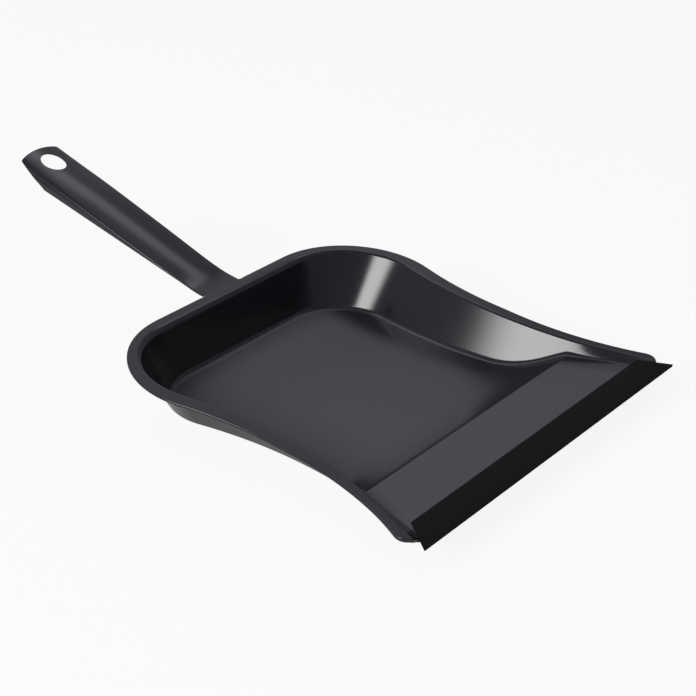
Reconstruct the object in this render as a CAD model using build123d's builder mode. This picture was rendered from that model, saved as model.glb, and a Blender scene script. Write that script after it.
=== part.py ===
from build123d import *
from math import cos, radians, sin, sqrt, tan
import os

# A dustpan: a tray drawn from thin steel sheet, a channel handle at its back and a push-on rubber lip.
# +Z is up, +Y points along the handle and X runs across. The origin is on the ground, under the
# middle of the flat floor. Lengths are in millimetres and angles in degrees.

# Sheet steel of the pan and the handle
sheet = 0.8

# Floor of the tray
foot_back = 61.8
foot_waist_width = 151.6
foot_waist_at = -34.0
foot_sweep_radius = 277.0
foot_corner_radius = 36.0
foot_radius = 3.0

# Walls of the tray
side_draft = 33.5
back_draft = 10.0
corner_draft = 18.5

# Riser and shelf in front of the floor
riser_sweep_radius = 77.0
riser_slope = 24.0
crease_at = -104.8
crease_height = 11.8
crease_radius = 3.0
front_edge = -150.3
front_step = 1.8

# Rim around the tray
rim_height = 28.7
rim_tilt = 4.9
flange = 7.9
rim_waist_at = -57.0
rim_waist_length = 14.0
bend_radius = 0.8
rim_turn = 1.4
rim_edge_radius = 1.0
front_corner_radius = 5.0

# Channel handle
handle_slope = 18.0
root_bend_radius = 60.0
handle_reach = 147.3
root_width = 29.4
root_skirt = 1.4
root_arch = 0.3
root_shoulder = 0.9
tip_width = 35.2
tip_skirt = 9.8
tip_arch = 2.2
tip_shoulder = 6.5
tip_end_radius = 44.0
tip_corner_radius = 4.0
runout_length = 27.2
runout_edge = 1.8
runout_slope = 8.5
hole_diameter = 15.6
hole_from_tip = 15.1
root_tab = 4.0

# Rubber lip
lip_clearance = 0.1
lip_jaw_depth = 8.3
lip_upper_jaw = 3.6
lip_lower_jaw = 1.6
lip_nose = 8.4
lip_nose_rise = 0.9
lip_nose_thickness = 1.2
lip_mitre = 35.0
lip_end_gap = 1.6
lip_undercut = 36.0

# Room that a cutting form keeps past the faces that it trims, and the distance that counts as touching
overrun = 12.0
touching = 0.01

# The concave side walls are cones about one upright axis on either side of the tray
side_axis_x = foot_waist_width / 2 + foot_sweep_radius

# The side wall is lowest at the front edge, and holds the foot's radius and the bend above it
turn_share = tan(radians((90 - side_draft) / 2)) * cos(radians(side_draft))
foot_fit = min(foot_radius, (front_step - touching) / turn_share - bend_radius)

# Faces less steep than halfway between the riser and the leaning side walls belong to the floor
steepest_floor = (riser_slope + 90 - side_draft) / 2

# The back wall leans out until it meets the rim plane, and the flange follows it
wall_lean, rim_lean = tan(radians(back_draft)), tan(radians(rim_tilt))
wall_back = (foot_back + (rim_height - sheet) * wall_lean) / (1 - rim_lean * wall_lean)
rim_back = wall_back + flange


def rim_level(y):
    """Height of the rim's top above the ground."""
    return rim_height + y * tan(radians(rim_tilt))


def wall_half_width(y, height, skin=0.0):
    """Half width between the side walls at a height above the inner floor."""
    run = height * tan(radians(side_draft)) + skin / cos(radians(side_draft))
    return side_axis_x - sqrt((foot_sweep_radius - run) ** 2 - (y - foot_waist_at) ** 2)


def rim_half_width(y):
    """Half width over the rim, a flange outside the walls at the rim's own height."""
    return wall_half_width(y, rim_level(y) - sheet) + flange


def off_middle(edges):
    """The edges of a half solid that don't lie in its middle plane."""
    return edges.filter_by_position(Axis.X, touching, side_axis_x)


def wall_outline(height, skin):
    """Level outline of one half of the tray at a height above the inner floor, a skin outside the hollow."""
    run = height * tan(radians(side_draft)) + skin / cos(radians(side_draft))
    sweep = foot_sweep_radius - run
    corner = foot_corner_radius + height * tan(radians(corner_draft)) + skin
    back = foot_back + height * tan(radians(back_draft)) + skin / cos(radians(back_draft))
    front = front_edge - overrun
    centre_y = back - corner
    centre_x = side_axis_x - sqrt((sweep + corner) ** 2 - (centre_y - foot_waist_at) ** 2)
    share = corner / (sweep + corner)
    touch = (centre_x + (side_axis_x - centre_x) * share, centre_y + (foot_waist_at - centre_y) * share)
    with BuildSketch(Plane.XY.offset(sheet + height)) as outline:
        with BuildLine():
            back_line = Line((0, back), (centre_x, back))
            bend = TangentArc(back_line @ 1, touch, tangent=back_line % 1)
            side = TangentArc(bend @ 1, (wall_half_width(front, height, skin), front), tangent=bend % 1)
            Polyline(side @ 1, (0, front), back_line @ 0)
        make_face()
    return outline.sketch


def tray_form(skin):
    """Half solid with the tray's walls and floor profile, a skin outside the hollow, open upwards."""
    low, high = -overrun, rim_level(foot_back) + overrun
    floor = sheet - skin
    crease = floor + crease_height
    shelf_rise = (rim_level(front_edge) - front_step - sheet - crease_height) / (crease_at - front_edge)
    ends = (front_edge - 2 * overrun, foot_back + 2 * overrun)
    with BuildPart() as form:
        loft([wall_outline(low, skin), wall_outline(high, skin)], ruled=True)
        with BuildSketch(Plane.YZ):
            with BuildLine():
                FilletPolyline(
                    (ends[1], high + overrun),
                    (ends[1], floor),
                    (crease_at + crease_height / tan(radians(riser_slope)), floor),
                    (crease_at, crease),
                    (ends[0], crease + shelf_rise * (crease_at - ends[0])),
                    (ends[0], high + overrun),
                    radius=[0, 0, riser_sweep_radius, crease_radius, 0, 0],
                    close=True,
                )
            make_face()
        extrude(amount=side_axis_x, mode=Mode.INTERSECT)
        flattest = cos(radians(steepest_floor))
        under = off_middle(form.faces().filter_by(lambda face: -face.normal_at().Z > flattest).edges())
        across = under.filter_by(Axis.X)
        along = under.filter_by(Axis.X, reverse=True)
        fillet(along + across.sort_by(Axis.Y)[-1:], radius=foot_fit + skin)
    return form.part


def rim_outline(inset, front):
    """Half outline in the rim plane, an inset inside the rim's edge, closed by a straight front line."""
    slant = cos(radians(rim_tilt))
    corner = foot_corner_radius + (rim_level(wall_back) - sheet) * tan(radians(corner_draft)) + flange
    centre_y = rim_back - corner
    centre_x = rim_half_width(centre_y) - corner
    waist_rear, waist_front = rim_waist_at + rim_waist_length / 2, rim_waist_at - rim_waist_length / 2
    waist = rim_half_width(rim_waist_at)
    across, along = waist - centre_x, waist_rear - centre_y
    sweep = (across**2 + along**2 - corner**2) / (2 * (corner - across))
    share = (corner - inset) / (corner + sweep)
    touch = (centre_x + (waist + sweep - centre_x) * share, centre_y + (waist_rear - centre_y) * share)
    flare_x, flare_y = rim_half_width(front_edge) - waist, front_edge - waist_front
    flare_radius = (flare_x**2 + flare_y**2) / (2 * flare_x)
    front_x = waist + flare_radius - sqrt((flare_radius + inset) ** 2 - (front - waist_front) ** 2)
    with BuildSketch(rim_plane.offset(-inset)) as outline:
        with BuildLine():
            back_line = Line((0, (rim_back - inset) / slant), (centre_x, (rim_back - inset) / slant))
            bend = TangentArc(back_line @ 1, (touch[0], touch[1] / slant), tangent=back_line % 1)
            rear = TangentArc(bend @ 1, (waist - inset, waist_rear / slant), tangent=bend % 1)
            side = Line(rear @ 1, (waist - inset, waist_front / slant))
            flare = TangentArc(side @ 1, (front_x, front / slant), tangent=side % 1)
            Polyline(flare @ 1, (0, front / slant), back_line @ 0)
        make_face()
    return outline.sketch


def channel(plane, share, skin):
    """Closed section of the handle, a share of the way from root to tip, a skin inside its outer face.

    A section with a skin is the channel's inside, and reaches below the skirts.
    """
    half = (root_width + (tip_width - root_width) * share) / 2 - skin
    skirt = root_skirt + (tip_skirt - root_skirt) * share + skin
    arch = root_arch + (tip_arch - root_arch) * share
    shoulder = root_shoulder + (tip_shoulder - root_shoulder) * share - skin
    with BuildSketch(plane) as section:
        with BuildLine():
            crown = ThreePointArc((-half, -arch - skin), (0, -skin), (half, -arch - skin))
            Polyline(crown @ 1, (half, -skirt), (-half, -skirt), crown @ 0)
        make_face()
        fillet(section.vertices().group_by(Axis.Y)[-1], shoulder)
    return section.sketch


def sloping(slope):
    """Unit vectors up along a slope towards the handle, and square to it."""
    rise = radians(slope)
    return Vector(0, cos(rise), sin(rise)), Vector(0, -sin(rise), cos(rise))


# The rim's plane, and the handle that leaves its back edge, bends upwards and then runs straight
rim_along, rim_normal = sloping(rim_tilt)
handle_along, handle_normal = sloping(handle_slope)
rim_plane = Plane(origin=(0, 0, rim_height), x_dir=(1, 0, 0), z_dir=rim_normal)
root = Vector(0, rim_back, rim_level(rim_back))
root_axis = Axis(root + rim_normal * root_bend_radius, (1, 0, 0))
neck = root + (rim_normal - handle_normal) * root_bend_radius
root_plane = Plane(origin=root, x_dir=(-1, 0, 0), z_dir=rim_along)
neck_plane = Plane(origin=neck, x_dir=(-1, 0, 0), z_dir=handle_along)
crown_plane = Plane(origin=neck, x_dir=(1, 0, 0), z_dir=handle_normal)
side_plane = Plane(origin=neck, x_dir=handle_along, z_dir=(1, 0, 0))
os.makedirs("parts", exist_ok=True)

# Pan
hollow = tray_form(0.0)
with BuildPart() as pressing:
    add(tray_form(sheet))
    split(bisect_by=rim_plane, keep=Keep.BOTTOM)
    split(bisect_by=Plane.XZ.offset(-front_edge), keep=Keep.BOTTOM)
with BuildPart() as pan:
    extrude(rim_outline(0.0, front_edge), amount=-rim_turn)
    front_corner = off_middle(pan.edges().filter_by(Axis(rim_plane.origin, rim_normal))).sort_by(Axis.Y)[0]
    fillet(front_corner, front_corner_radius)
    fillet(off_middle(pan.faces().filter_by(rim_plane).sort_by(Axis.Z)[-1].edges()), rim_edge_radius)
    extrude(rim_outline(sheet, front_edge - overrun), amount=-rim_turn, mode=Mode.SUBTRACT)
    with BuildSketch(root_plane):
        Rectangle(root_width / 2, sheet, align=(Align.MAX, Align.MAX))
    extrude(amount=-root_tab)
    with BuildSketch(root_plane):
        with Locations((0, -sheet)):
            Rectangle(root_width / 2, rim_turn, align=(Align.MAX, Align.MAX))
    extrude(amount=-root_tab, mode=Mode.SUBTRACT)
    add(pressing.part)
    add(hollow, mode=Mode.SUBTRACT)
    rim_top = pan.faces().filter_by(rim_plane).sort_by(Axis.Z)[-1]
    bend = rim_top.edges().filter_by(lambda edge: hollow.distance_to(Vertex(edge @ 0.5)) < touching)
    fillet(bend, bend_radius)
    mirror(about=Plane.YZ)
pan.part.label = "pan"
export_step(pan.part, "parts/pan.step")

# Handle
tip_plane = neck_plane.offset(handle_reach)
runout_start = handle_reach - runout_length
runout_skirt = root_skirt + (tip_skirt - root_skirt) * runout_start / handle_reach
tip_drop = tip_end_radius - sqrt(tip_end_radius**2 - (tip_width / 2) ** 2)
with BuildPart() as handle:
    revolve(channel(root_plane, 0.0, 0.0), root_axis, revolution_arc=handle_slope - rim_tilt)
    loft([channel(neck_plane, 0.0, 0.0), channel(tip_plane, 1.0, 0.0)], ruled=True)
    revolve(
        channel(root_plane, 0.0, sheet), root_axis, revolution_arc=handle_slope - rim_tilt, mode=Mode.SUBTRACT
    )
    loft([channel(neck_plane, 0.0, sheet), channel(tip_plane, 1.0, sheet)], ruled=True, mode=Mode.SUBTRACT)
    with BuildSketch(crown_plane) as plan:
        with BuildLine():
            end = ThreePointArc(
                (-tip_width / 2, handle_reach - tip_drop),
                (0, handle_reach),
                (tip_width / 2, handle_reach - tip_drop),
            )
            Polyline(end @ 1, (tip_width / 2, -root.Y), (-tip_width / 2, -root.Y), end @ 0)
        make_face()
        fillet(plan.vertices().group_by(Axis.Y)[-1], tip_corner_radius)
        with Locations((0, handle_reach - hole_from_tip)):
            Circle(hole_diameter / 2, mode=Mode.SUBTRACT)
    extrude(amount=tip_width, both=True, mode=Mode.INTERSECT)
    with BuildSketch(side_plane):
        with BuildLine():
            rise = TangentArc(
                (handle_reach, -runout_edge),
                (runout_start, -runout_skirt),
                tangent=(-cos(radians(runout_slope)), -sin(radians(runout_slope))),
            )
            Polyline(rise @ 1, (runout_start, -tip_width), (handle_reach, -tip_width), rise @ 0)
        make_face()
    extrude(amount=tip_width, both=True, mode=Mode.SUBTRACT)
handle.part.label = "handle"
export_step(handle.part, "parts/handle.step")

# Rubber lip
edge = Vector(0, front_edge, rim_level(front_edge) - front_step)
shelf_back = Vector(0, crease_at, sheet + crease_height)
lip_plane = Plane(origin=edge, x_dir=edge - shelf_back, z_dir=(-1, 0, 0))
edge_half = wall_half_width(edge.Y, edge.Z - sheet) - lip_end_gap
jaw_half = edge_half - lip_jaw_depth * tan(radians(lip_mitre))
nose_half = edge_half + lip_nose * tan(radians(lip_mitre))
slot_top, slot_floor = lip_clearance, -sheet - lip_clearance

# Either end of the lip is one cut through the ends of its top face, leaning inwards below
jaw_end = lip_plane.from_local_coords(Vector(-lip_jaw_depth, slot_top + lip_upper_jaw, -jaw_half))
nose_end = lip_plane.from_local_coords(Vector(lip_nose, lip_nose_rise, -nose_half))
undercut = Vector(-sin(radians(lip_undercut)), 0, -cos(radians(lip_undercut)))
end_normal = (nose_end - jaw_end).cross(undercut)
with BuildPart() as rubber_lip:
    with BuildSketch(lip_plane):
        with BuildLine():
            Polyline(
                (-lip_jaw_depth, slot_top),
                (lip_clearance, slot_top),
                (lip_clearance, slot_floor),
                (-lip_jaw_depth, slot_floor),
                (-lip_jaw_depth, slot_floor - lip_lower_jaw),
                (0, slot_floor - lip_lower_jaw),
                (lip_nose, lip_nose_rise - lip_nose_thickness),
                (lip_nose, lip_nose_rise),
                (-lip_jaw_depth, slot_top + lip_upper_jaw),
                close=True,
            )
        make_face()
    extrude(amount=-nose_half)
    split(bisect_by=Plane(origin=jaw_end, z_dir=end_normal), keep=Keep.BOTTOM)
    mirror(about=Plane.YZ)
rubber_lip.part.label = "rubber_lip"
export_step(rubber_lip.part, "parts/rubber_lip.step")
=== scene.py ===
"""Looks of a dustpan: a tray drawn from thin steel sheet, its channel handle and a push-on rubber lip.

+Z is up, +Y points along the handle and X runs across. Sizes are in millimetres and angles in degrees until a
mesh is written, in metres, in the frame's own place.
"""
import logging
from collections.abc import Callable
from dataclasses import dataclass, field
from enum import Enum
from math import asin, atan, atan2, cos, degrees, pi, radians, sin, sqrt, tan

import bpy
import numpy as np
from bpy.types import ID, Light, Material, Mesh, Node, NodeOutputs, NodeSocket, NodeTree, Object
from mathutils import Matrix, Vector


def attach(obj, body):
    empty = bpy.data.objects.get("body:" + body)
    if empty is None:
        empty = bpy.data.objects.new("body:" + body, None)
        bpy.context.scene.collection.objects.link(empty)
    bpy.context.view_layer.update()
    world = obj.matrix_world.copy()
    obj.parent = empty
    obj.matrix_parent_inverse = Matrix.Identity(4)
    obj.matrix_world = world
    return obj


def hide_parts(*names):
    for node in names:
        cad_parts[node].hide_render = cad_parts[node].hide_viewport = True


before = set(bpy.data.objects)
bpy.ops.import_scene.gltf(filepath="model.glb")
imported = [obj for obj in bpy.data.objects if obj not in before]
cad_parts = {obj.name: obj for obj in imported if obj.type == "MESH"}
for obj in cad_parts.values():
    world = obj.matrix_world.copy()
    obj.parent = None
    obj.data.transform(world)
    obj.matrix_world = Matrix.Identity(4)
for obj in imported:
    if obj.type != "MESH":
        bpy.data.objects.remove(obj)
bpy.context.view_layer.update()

Array = np.ndarray
Colour = tuple[float, float, float]
Span = tuple[float, float]
MM = 0.001
ACROSS = np.array((1.0, 0.0, 0.0))
BODY = "root"
log = logging.getLogger("dustpan")


class Slot(Enum):
    """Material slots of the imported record."""

    PAINT = "paint"
    RUBBER = "rubber"


# Small geometry helpers

def unit(vectors: Array) -> Array:
    """Vectors brought to length one."""
    return vectors / np.linalg.norm(vectors, axis=-1, keepdims=True)


def swing(start: Array, end: Array, steps: int) -> Array:
    """Unit vectors that turn evenly from one direction to another.

    Args:
        start: Unit vectors, one row for each place.
        end: Unit vectors, one row for each place.
        steps: Equal steps of the turn.

    Returns:
        Unit vectors by place, step and axis.
    """
    angle = np.arccos(np.clip((start * end).sum(-1), -1, 1))[:, None]
    share = np.linspace(0, 1, steps + 1)[None, :]
    before = np.sin((1 - share) * angle) / np.sin(angle)
    after = np.sin(share * angle) / np.sin(angle)
    return before[..., None] * start[:, None, :] + after[..., None] * end[:, None, :]


def tangent_arc(start: Array, heading: Array, end: Array, count: int) -> tuple[Array, Array]:
    """Points of a flat arc that leaves a point along a heading and ends at another point.

    Args:
        start: First point.
        heading: Unit direction of the arc at its first point.
        end: Last point.
        count: Number of points.

    Returns:
        The points, and the unit headings at them.
    """
    side = np.array((-heading[1], heading[0]))
    chord = end - start
    curvature = 2 * (chord @ side) / (chord @ chord)
    turn = 2 * atan2(chord @ side, chord @ heading) * np.linspace(0, 1, count)
    ahead, aside = np.sin(turn) / curvature, (1 - np.cos(turn)) / curvature
    points = start + np.outer(ahead, heading) + np.outer(aside, side)
    return points, np.outer(np.cos(turn), heading) + np.outer(np.sin(turn), side)


def rising_root(
    function: Callable[[Array], Array], low: Array, high: Array, halvings: int = 50
) -> Array:
    """Where functions that rise from below zero to above it cross zero.

    Args:
        function: Takes one value for each place and gives one for each.
        low: Values at which the functions are below zero.
        high: Values at which the functions are above zero.
        halvings: How often the range between the two is halved.

    Returns:
        The crossing of each place.
    """
    for _ in range(halvings):
        middle = (low + high) / 2
        below = function(middle) < 0
        low, high = np.where(below, middle, low), np.where(below, high, middle)
    return (low + high) / 2


def blend_in(value: Array, start: float, end: float) -> Array:
    """A smooth share that goes from 0 at start to 1 at end."""
    share = np.clip((value - start) / (end - start), 0, 1)
    return share * share * (3 - 2 * share)


def between(first: float | Array, second: float | Array, share: float | Array) -> float | Array:
    """The value that lies a share of the way from one value to another."""
    return first + (second - first) * share


def shares(steps: int) -> Array:
    """Shares of a whole at the ends of its equal steps."""
    return np.linspace(0, 1, steps + 1)[1:]


def walked_length(points: Array) -> Array:
    """Distance along a line from its first point to each of its points."""
    steps = np.linalg.norm(np.diff(points, axis=0), axis=1)
    return np.concatenate(((0.0,), np.cumsum(steps)))


def place_object(name: str, data: ID) -> Object:
    """Makes an object for a mesh, lamp or camera.

    Args:
        name: The object's name.
        data: The mesh, lamp or camera.

    Returns:
        The object, at the origin and linked to the scene.
    """
    made = bpy.data.objects.new(name, data)
    bpy.context.scene.collection.objects.link(made)
    return made


@dataclass
class SheetSkin:
    """The upper side of a bent sheet, which becomes a closed solid with soft edges.

    Attributes:
        sheet: Thickness of the sheet.
        edge_bulge: How far the rounded cut edge stands out of the sheet's flat sides.
        edge_steps: Faces across the cut edge.
        flush: Numbers of edge points that stay where they are, without a rounded edge.
    """

    sheet: float
    edge_bulge: float = 0.2
    edge_steps: int = 4
    points: list[Array] = field(default_factory=list)
    normals: list[Array] = field(default_factory=list)
    faces: list[Array] = field(default_factory=list)
    flush: list[int] = field(default_factory=list)
    count: int = 0

    def add_points(self, points: Array, normals: Array) -> Array:
        """Takes points with their unit normals.

        Args:
            points: Places, in an array of any shape whose last axis is x, y and z.
            normals: Unit normals of the upper side, in the same shape.

        Returns:
            The points' numbers, in the array's shape.
        """
        shape = points.shape[:-1]
        numbers = np.arange(self.count, self.count + int(np.prod(shape))).reshape(shape)
        self.points.append(points.reshape(-1, 3))
        self.normals.append(normals.reshape(-1, 3))
        self.count += numbers.size
        return numbers

    def add_grid(self, numbers: Array, keep: Array | None = None) -> None:
        """Lays four-sided faces on a grid of point numbers.

        Args:
            numbers: Point numbers by row and column.
            keep: Whether each face of the grid is laid, or None for all of them.
        """
        corners = (numbers[:-1, :-1], numbers[1:, :-1], numbers[1:, 1:], numbers[:-1, 1:])
        quads = np.stack(corners, axis=-1)
        self.faces.append(quads[keep] if keep is not None else quads.reshape(-1, 4))

    def solid(self, name: str, material: Material) -> Object:
        """Thickens the skin downwards and makes an object of it.

        Args:
            name: The object's name.
            material: The material of all its faces.

        Returns:
            The object, linked to the scene, with its true normals on every corner.
        """
        points, normals = np.concatenate(self.points), unit(np.concatenate(self.normals))
        faces = np.concatenate(self.faces)
        corners = points[faces]
        facing = np.cross(corners[:, 2] - corners[:, 0], corners[:, 3] - corners[:, 1])
        turned = (facing * normals[faces].sum(1)).sum(-1) < 0
        faces[turned] = faces[turned][:, ::-1]
        edges = self.open_edges(faces)
        outward = self.edge_directions(points, normals, edges)
        bulge = np.full(len(points), self.edge_bulge)
        bulge[self.flush] = 0.0
        points = points - outward * bulge[:, None]
        band, band_normals, band_faces = self.edge_band(points, normals, outward, bulge, edges)
        under = faces[:, ::-1]
        piece = mesh_object(
            name,
            np.concatenate((points, points - self.sheet * normals, band)),
            np.concatenate((faces, under + len(points), band_faces)),
            np.concatenate((normals[faces], -normals[under], band_normals)),
        )
        piece.data.materials.append(material)
        return piece

    @staticmethod
    def open_edges(faces: Array) -> Array:
        """Edges that only one face uses.

        Args:
            faces: Point numbers, by face and corner.

        Returns:
            Point numbers of the edges, each in the direction of its face.
        """
        edges = np.concatenate([faces[:, (k, (k + 1) % 4)] for k in range(4)])
        _, first, uses = np.unique(np.sort(edges, axis=1), axis=0, return_index=True, return_counts=True)
        return edges[first[uses == 1]]

    @staticmethod
    def edge_directions(points: Array, normals: Array, edges: Array) -> Array:
        """Directions in the sheet that point out of it at its open edges.

        Args:
            points: Places of the skin's points.
            normals: Unit normals of the skin.
            edges: Open edges, each with the skin on its left.

        Returns:
            Unit vectors for points on an edge, and zero for all others.
        """
        along = unit(points[edges[:, 1]] - points[edges[:, 0]])
        outward = np.zeros_like(points)
        for end in range(2):
            np.add.at(outward, edges[:, end], np.cross(along, normals[edges[:, end]]))
        size = np.linalg.norm(outward, axis=-1, keepdims=True)
        return np.divide(outward, size, out=outward, where=size > 0)

    def edge_band(
        self, points: Array, normals: Array, outward: Array, bulge: Array, edges: Array
    ) -> tuple[Array, Array, Array]:
        """Rounded strip that closes the cut edges between the upper and the lower side.

        Args:
            points: Places of the skin's points, with open edges already drawn back.
            normals: Unit normals of the skin.
            outward: Directions out of the sheet at its open edges.
            bulge: How far the strip stands out at each point.
            edges: Open edges, each with the skin on its left.

        Returns:
            The strip's own points, the normals of its faces' corners, and its faces.
        """
        rim, below = np.unique(edges), len(points)
        place = np.full(below, -1)
        place[rim] = np.arange(len(rim))
        middle = points[rim] - normals[rim] * self.sheet / 2
        rows, row_normals = [], []
        for angle in np.linspace(0, pi, self.edge_steps + 1):
            lift = normals[rim] * (cos(angle) * self.sheet / 2)
            rows.append(middle + lift + outward[rim] * (sin(angle) * bulge[rim])[:, None])
            row_normals.append(unit(normals[rim] * cos(angle) + outward[rim] * sin(angle)))
        own = 2 * below + np.arange((self.edge_steps - 1) * len(rim)).reshape(-1, len(rim))
        numbers = [rim, *own, rim + below]
        faces, corners = [], []
        start, end = place[edges[:, 0]], place[edges[:, 1]]
        for upper, lower, above, under in zip(numbers, numbers[1:], row_normals, row_normals[1:]):
            faces.append(np.stack((upper[end], upper[start], lower[start], lower[end]), -1))
            corners.append(np.stack((above[end], above[start], under[start], under[end]), 1))
        return np.concatenate(rows[1:-1]), np.concatenate(corners), np.concatenate(faces)


def mesh_object(name: str, points: Array, faces: Array, corner_normals: Array) -> Object:
    """A mesh object with given corner normals, from places in millimetres.

    Args:
        name: The object's name.
        points: Places, by point and axis.
        faces: Point numbers, by face and corner.
        corner_normals: Unit normals, by face, corner and axis.

    Returns:
        The object, at the origin and linked to the scene.
    """
    used, faces = np.unique(faces, return_inverse=True)
    faces = faces.reshape(-1, 4)
    mesh = bpy.data.meshes.new(name)
    mesh.from_pydata((points[used] * MM).tolist(), [], faces.tolist())
    mesh.polygons.foreach_set("use_smooth", np.ones(len(faces), bool))
    mesh.normals_split_custom_set(corner_normals.reshape(-1, 3).tolist())
    mesh.update()
    return place_object(name, mesh)


# Forms of the steel pressing

@dataclass(frozen=True)
class FloorProfile:
    """Floor, riser, crease and shelf of the tray, seen from the side.

    Attributes:
        level: Height of the floor's upper side.
        front_edge: Place of the shelf's front edge.
        front_height: Height of the shelf's upper side there.
        crease_height: Height of the sharp crease above the floor.
    """

    level: float
    front_edge: float
    front_height: float
    riser_radius: float = 77.0
    riser_slope: float = 24.0
    crease_at: float = -104.8
    crease_height: float = 11.8
    crease_radius: float = 3.0

    @property
    def shelf_slope(self) -> float:
        """Slope of the shelf, in degrees."""
        rise = self.front_height - self.level - self.crease_height
        return degrees(atan(rise / (self.crease_at - self.front_edge)))

    def height(self, y: Array, lift: float | Array = 0.0) -> tuple[Array, Array]:
        """Height and slope of the profile, or of a line a lift above it.

        Args:
            y: Places along the tray.
            lift: Distance above the profile, square to it.

        Returns:
            The heights, and the slopes in radians, rising towards the front.
        """
        riser, shelf = radians(self.riser_slope), radians(self.shelf_slope)
        foot = self.crease_at + self.crease_height / tan(riser) + self.riser_radius * tan(riser / 2)
        sweep, bend = self.riser_radius - lift, self.crease_radius + lift
        tangent = self.crease_radius * tan((riser - shelf) / 2)
        centre_y = self.crease_at + tangent * cos(riser) - self.crease_radius * sin(riser)
        centre_z = self.level + self.crease_height - tangent * sin(riser) - self.crease_radius * cos(riser)
        arc_end, arc_top = foot - sweep * sin(riser), self.level + self.riser_radius - sweep * cos(riser)
        bend_start, bend_end = centre_y + bend * sin(riser), centre_y + bend * sin(shelf)
        on_arc = np.arcsin(np.clip((foot - y) / sweep, 0, sin(riser)))
        on_bend = np.arcsin(np.clip((y - centre_y) / bend, sin(shelf), sin(riser)))
        places = [y >= foot, y >= arc_end, y >= bend_start, y >= bend_end]
        heights = [
            self.level + lift + 0 * y,
            self.level + self.riser_radius - sweep * np.cos(on_arc),
            arc_top + (arc_end - y) * tan(riser),
            centre_z + bend * np.cos(on_bend),
        ]
        shelf_height = centre_z + bend * cos(shelf) + (bend_end - y) * tan(shelf)
        slopes = [0 * y, on_arc, riser + 0 * y, on_bend]
        return np.select(places, heights, shelf_height), np.select(places, slopes, shelf)


@dataclass(frozen=True)
class RimFrame:
    """The rim's tilted plane, and the bend by which the handle leaves its back.

    Attributes:
        height: Height of the plane above the origin.
        tilt: Its slope towards the handle.
        back: Place of its back edge.
        bend_radius: Radius of the handle's bend.
    """

    height: float
    tilt: float
    back: float
    bend_radius: float

    @property
    def along(self) -> Array:
        """Unit direction up the plane, towards the handle."""
        return np.array((0.0, cos(radians(self.tilt)), sin(radians(self.tilt))))

    @property
    def normal(self) -> Array:
        """Unit normal of the plane."""
        return np.array((0.0, -sin(radians(self.tilt)), cos(radians(self.tilt))))

    @property
    def root(self) -> float:
        """Distance up the plane at which the handle's bend starts."""
        return self.back / cos(radians(self.tilt))

    def level(self, y: float) -> float:
        """Height of the plane above the ground."""
        return self.height + y * tan(radians(self.tilt))

    def local(self, points: Array) -> Array:
        """Places across and up the plane, of points in space."""
        return np.stack((points[..., 0], (points - (0, 0, self.height)) @ self.along), -1)

    def space(self, flat: Array, drop: float | Array = 0.0) -> tuple[Array, Array]:
        """Points on the plane, or on the bend behind it.

        Args:
            flat: Places across and up the sheet, as if the bend were still flat.
            drop: Distance below the sheet's upper side.

        Returns:
            The points, and the upper side's unit normals at them.
        """
        ahead = np.minimum(flat[..., 1], self.root)
        turn = np.maximum(flat[..., 1] - self.root, 0) / self.bend_radius
        radius = self.bend_radius + np.asarray(drop)
        up = np.cos(turn)[..., None] * self.normal - np.sin(turn)[..., None] * self.along
        start = np.zeros((*flat.shape[:-1], 3))
        start[..., 0], start[..., 2] = flat[..., 0], self.height
        start += ahead[..., None] * self.along + self.bend_radius * self.normal
        return start - up * radius[..., None], up


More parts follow.
